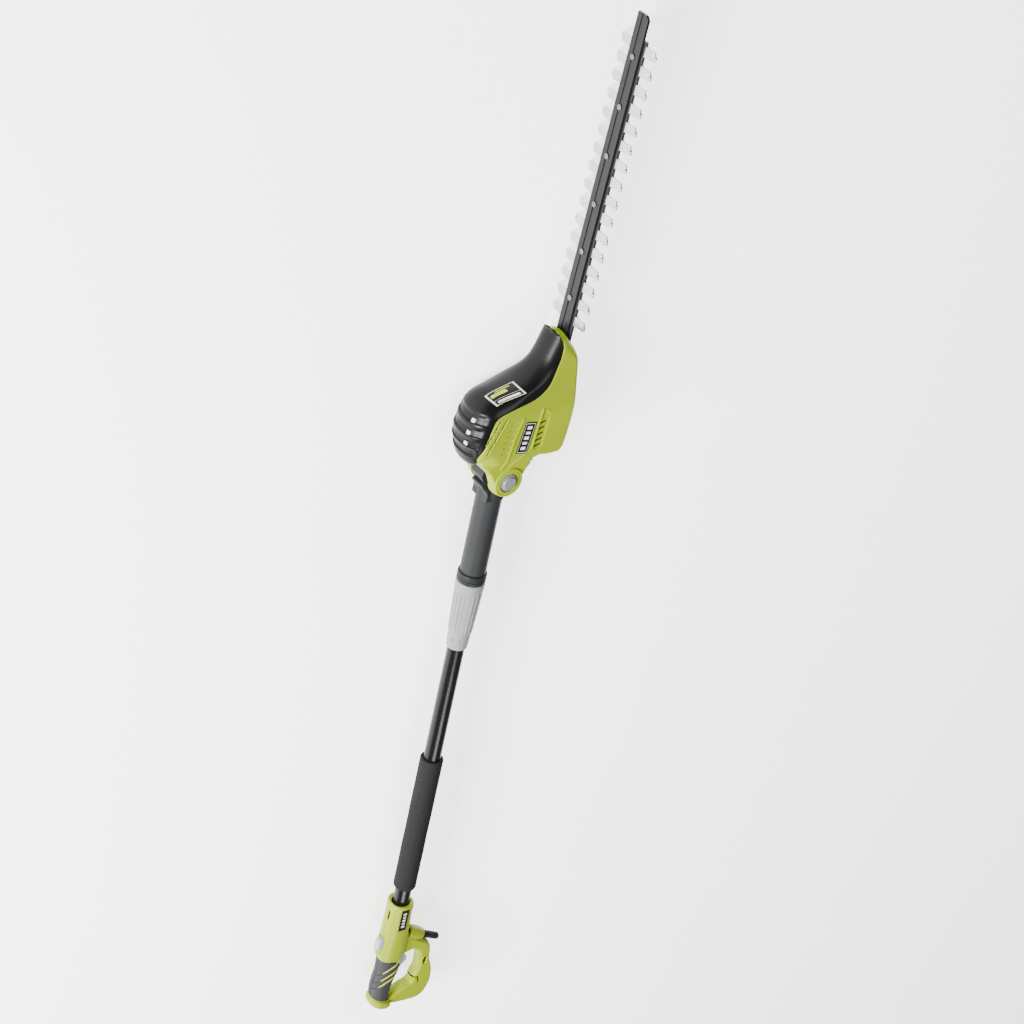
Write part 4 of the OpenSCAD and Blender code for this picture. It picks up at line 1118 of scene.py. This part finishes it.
def guard_half(side):
    """Half of the closed hand guard: a strip ruled from its outer to its inner outline, as high as a
    circle's arc of the distance to them, with an oval eye and a hook slot sunk to the middle."""
    keys_out = [fraction_at(LOOP_OUT, p) for p in [
        (-890, -14), (-930, -57), (-945, -77), (-978, -82), (-1002, -92), (-1030, -95), (-1062, -84),
        (-1069.5, -60), (-1062, -14)]]
    keys_in = [fraction_at(LOOP_IN, p) for p in [
        (-953, -8), (-947, -40), (-956, -55), (-982, -60), (-1002, -60), (-1018, -54), (-1029, -48),
        (-1035, -32), (-1048, -8)]]
    key = np.arange(9)
    s = np.linspace(0, 8, 330)
    outer = along(LOOP_OUT, np.interp(s, key, keys_out))
    inner = along(LOOP_IN, np.interp(s, key, keys_in))
    t = 0.5 - 0.5 * np.cos(np.linspace(0, math.pi, 46))
    xy = outer[:, None] + t[None, :, None] * (inner - outer)[:, None]
    edge = np.minimum(gap_to(xy, LOOP_OUT), gap_to(xy, LOOP_IN))
    u = np.clip(edge / 6.0, 0, 1)
    z = 11.8 * (1 - (1 - u) ** 2.3) ** (1 / 2.3)
    x, y = xy[..., 0], xy[..., 1]
    oval = np.hypot((x - EYE[0]) / 1.9, y - EYE[1])
    eye = 1 - smooth((oval - 3.9) / 0.9)
    hook = np.maximum(slot_mask(xy, (-1016, -64.5), (-1027, -66.5), 1.7, 0.9),
                      slot_mask(xy, (-1016, -64.5), (-1016, -54), 1.7, 0.9))
    rim = 0.8 * np.exp(-((oval - 5.8) / 0.9) ** 2)
    z = (z + rim) * (1 - np.maximum(eye, 0.75 * hook)) + 0.12
    grid = np.concatenate([xy, (z * side)[..., None]], -1)
    sign = 1 if np.mean(normals_of(grid)[..., 2] * side) > 0 else -1
    points, faces = walled(grid, 1.6, sign)
    name = "right" if side > 0 else "left"
    # Painted shade: the eye and the hook slot are marked for the slot colour, in place of the shade inside the
    # holes.
    made = piece("guard_" + name, pole_to_row(points), faces, "lime_painted_slot_shade", "handle",
                 inside=pole_to_row(np.array([-1000.0, -70, -60 * side])), sharp=50,
                 attributes={"painted_shade_and_glint": np.tile(np.maximum(eye, hook).ravel(), 2)})
    return made


def end_foot():
    """Grey foot on the rear end: the end section drawn in over a few rows to a shallow closed dome."""
    rows = [(0.6, 0.0), (0.6, 0.86), (-1.5, 0.92), (-4.5, 0.88), (-6.2, 0.76), (-6.8, 0.5), (-6.8, 0.0)]
    turn = np.linspace(0, 2 * math.pi, 97)[:-1]
    section = on_body(np.full(96, HANDLE_BACK), turn)
    centre = section.mean(0)
    grid = np.stack([centre + share * (section - centre) + np.array([step, 0, 0]) for step, share in rows])
    return piece("end_foot", pole_to_row(grid), quads(len(rows), 96, wrap_v=True), "foot", "handle",
                 ("end_cap",), sharp=35)


PROTECTOR_AT, PROTECTOR_TURN = (-905, -22), -117.2   # mm and degrees, start and direction of its axis


def bend_protector():
    """Rubber bend protector: a revolve round its own axis, ringed by cuts that reach through most of the
    wall, tapering to the tip."""
    x = np.linspace(14, 82, 273)
    taper = np.interp(x, [14, 40, 47, 80, 81.4, 82], [7.4, 7.4, 6.7, 6.3, 6.0, 5.4])
    rings = 0.55 * smooth((np.abs(((x - 46) % 5.0) - 2.5) - 1.45) / 0.5) * ((x > 46) & (x < 77))
    x = np.concatenate([[14], x, [82, 68]])
    r = np.concatenate([[3.6], taper - rings, [3.6, 3.6]])
    grid = turned(x, r, 48)
    a = math.radians(PROTECTOR_TURN)
    c, s = math.cos(a), math.sin(a)
    gx, gy = grid[..., 0], grid[..., 1]
    moved = np.stack([PROTECTOR_AT[0] + c * gx - s * gy, PROTECTOR_AT[1] + s * gx + c * gy, grid[..., 2]], -1)
    return piece("bend_sleeve", pole_to_row(moved), quads(len(x), 48, wrap_v=True), "rubber", "handle",
                 ("bend_protector",), sharp=35)


SOFT_EDGES = {"blade_bar": 0.8, "blade_upper": 0.25, "blade_lower": 0.25, "trigger": 1.2, "lock_button": 1.4,
              "pivot_button": 0.9, "blade_screws": 0.4, "lead_boss": 0.8, "outer_tube": 0.4, "pivot_pin": 0.3,
              "knuckle_cup": 0.3, "collet": 0.3}


# ---------------------------------------------------------------- studio
FLOOR_REACH = 12.0    # m from the origin to each edge of the floor
FLOOR_DROP = 0.0005   # m from the object's lowest point down to the floor
SKY_COLOUR, SKY_STRENGTH = (0.95, 0.97, 1.0, 1), 0.38
LAMPS = (
    ("lamp_key", (-0.3, 3.0, 1.2), 1.2, 480),
    ("lamp_fill", (0.9, -0.8, 2.8), 1.3, 60),
    ("lamp_back", (-2.4, 0.6, 2.0), 1.0, 50),
)


def add_studio():
    """Pale floor under the object and three large soft lamps."""
    mesh = bpy.data.meshes.new("floor")
    reach, z = FLOOR_REACH, cad_low.z - FLOOR_DROP
    mesh.from_pydata([(-reach, -reach, z), (reach, -reach, z), (reach, reach, z), (-reach, reach, z)], [],
                     [(0, 1, 2, 3)])
    mesh.materials.append(floor_paper("floor_paper"))
    floor = bpy.data.objects.new("floor", mesh)
    bpy.context.scene.collection.objects.link(floor)
    for name, place, size, power in LAMPS:
        data = bpy.data.lights.new(name, "AREA")
        data.size = size
        data.energy = power
        lamp = bpy.data.objects.new(name, data)
        lamp.location = place
        lamp.rotation_euler = (-lamp.location).to_track_quat("-Z", "Y").to_euler()
        bpy.context.scene.collection.objects.link(lamp)
    world = bpy.data.worlds.new("studio")
    world.use_nodes = True
    world.node_tree.nodes["Background"].inputs[0].default_value = SKY_COLOUR
    world.node_tree.nodes["Background"].inputs[1].default_value = SKY_STRENGTH
    bpy.context.scene.world = world


add_camera()
dress_nodes()
for way in (1, -1):
    side_label(way)
    head_side(way)
    handle_half(way)
    grip_half(way)
    guard_half(way)
head_cover()
cover_label()
handle_label()
sleeve_piece()
knuckle_piece()
flange_piece()
twist_collar()
foam_piece()
flashes()
end_foot()
bend_protector()
for node, width in SOFT_EDGES.items():
    softened(node, width)
add_studio()
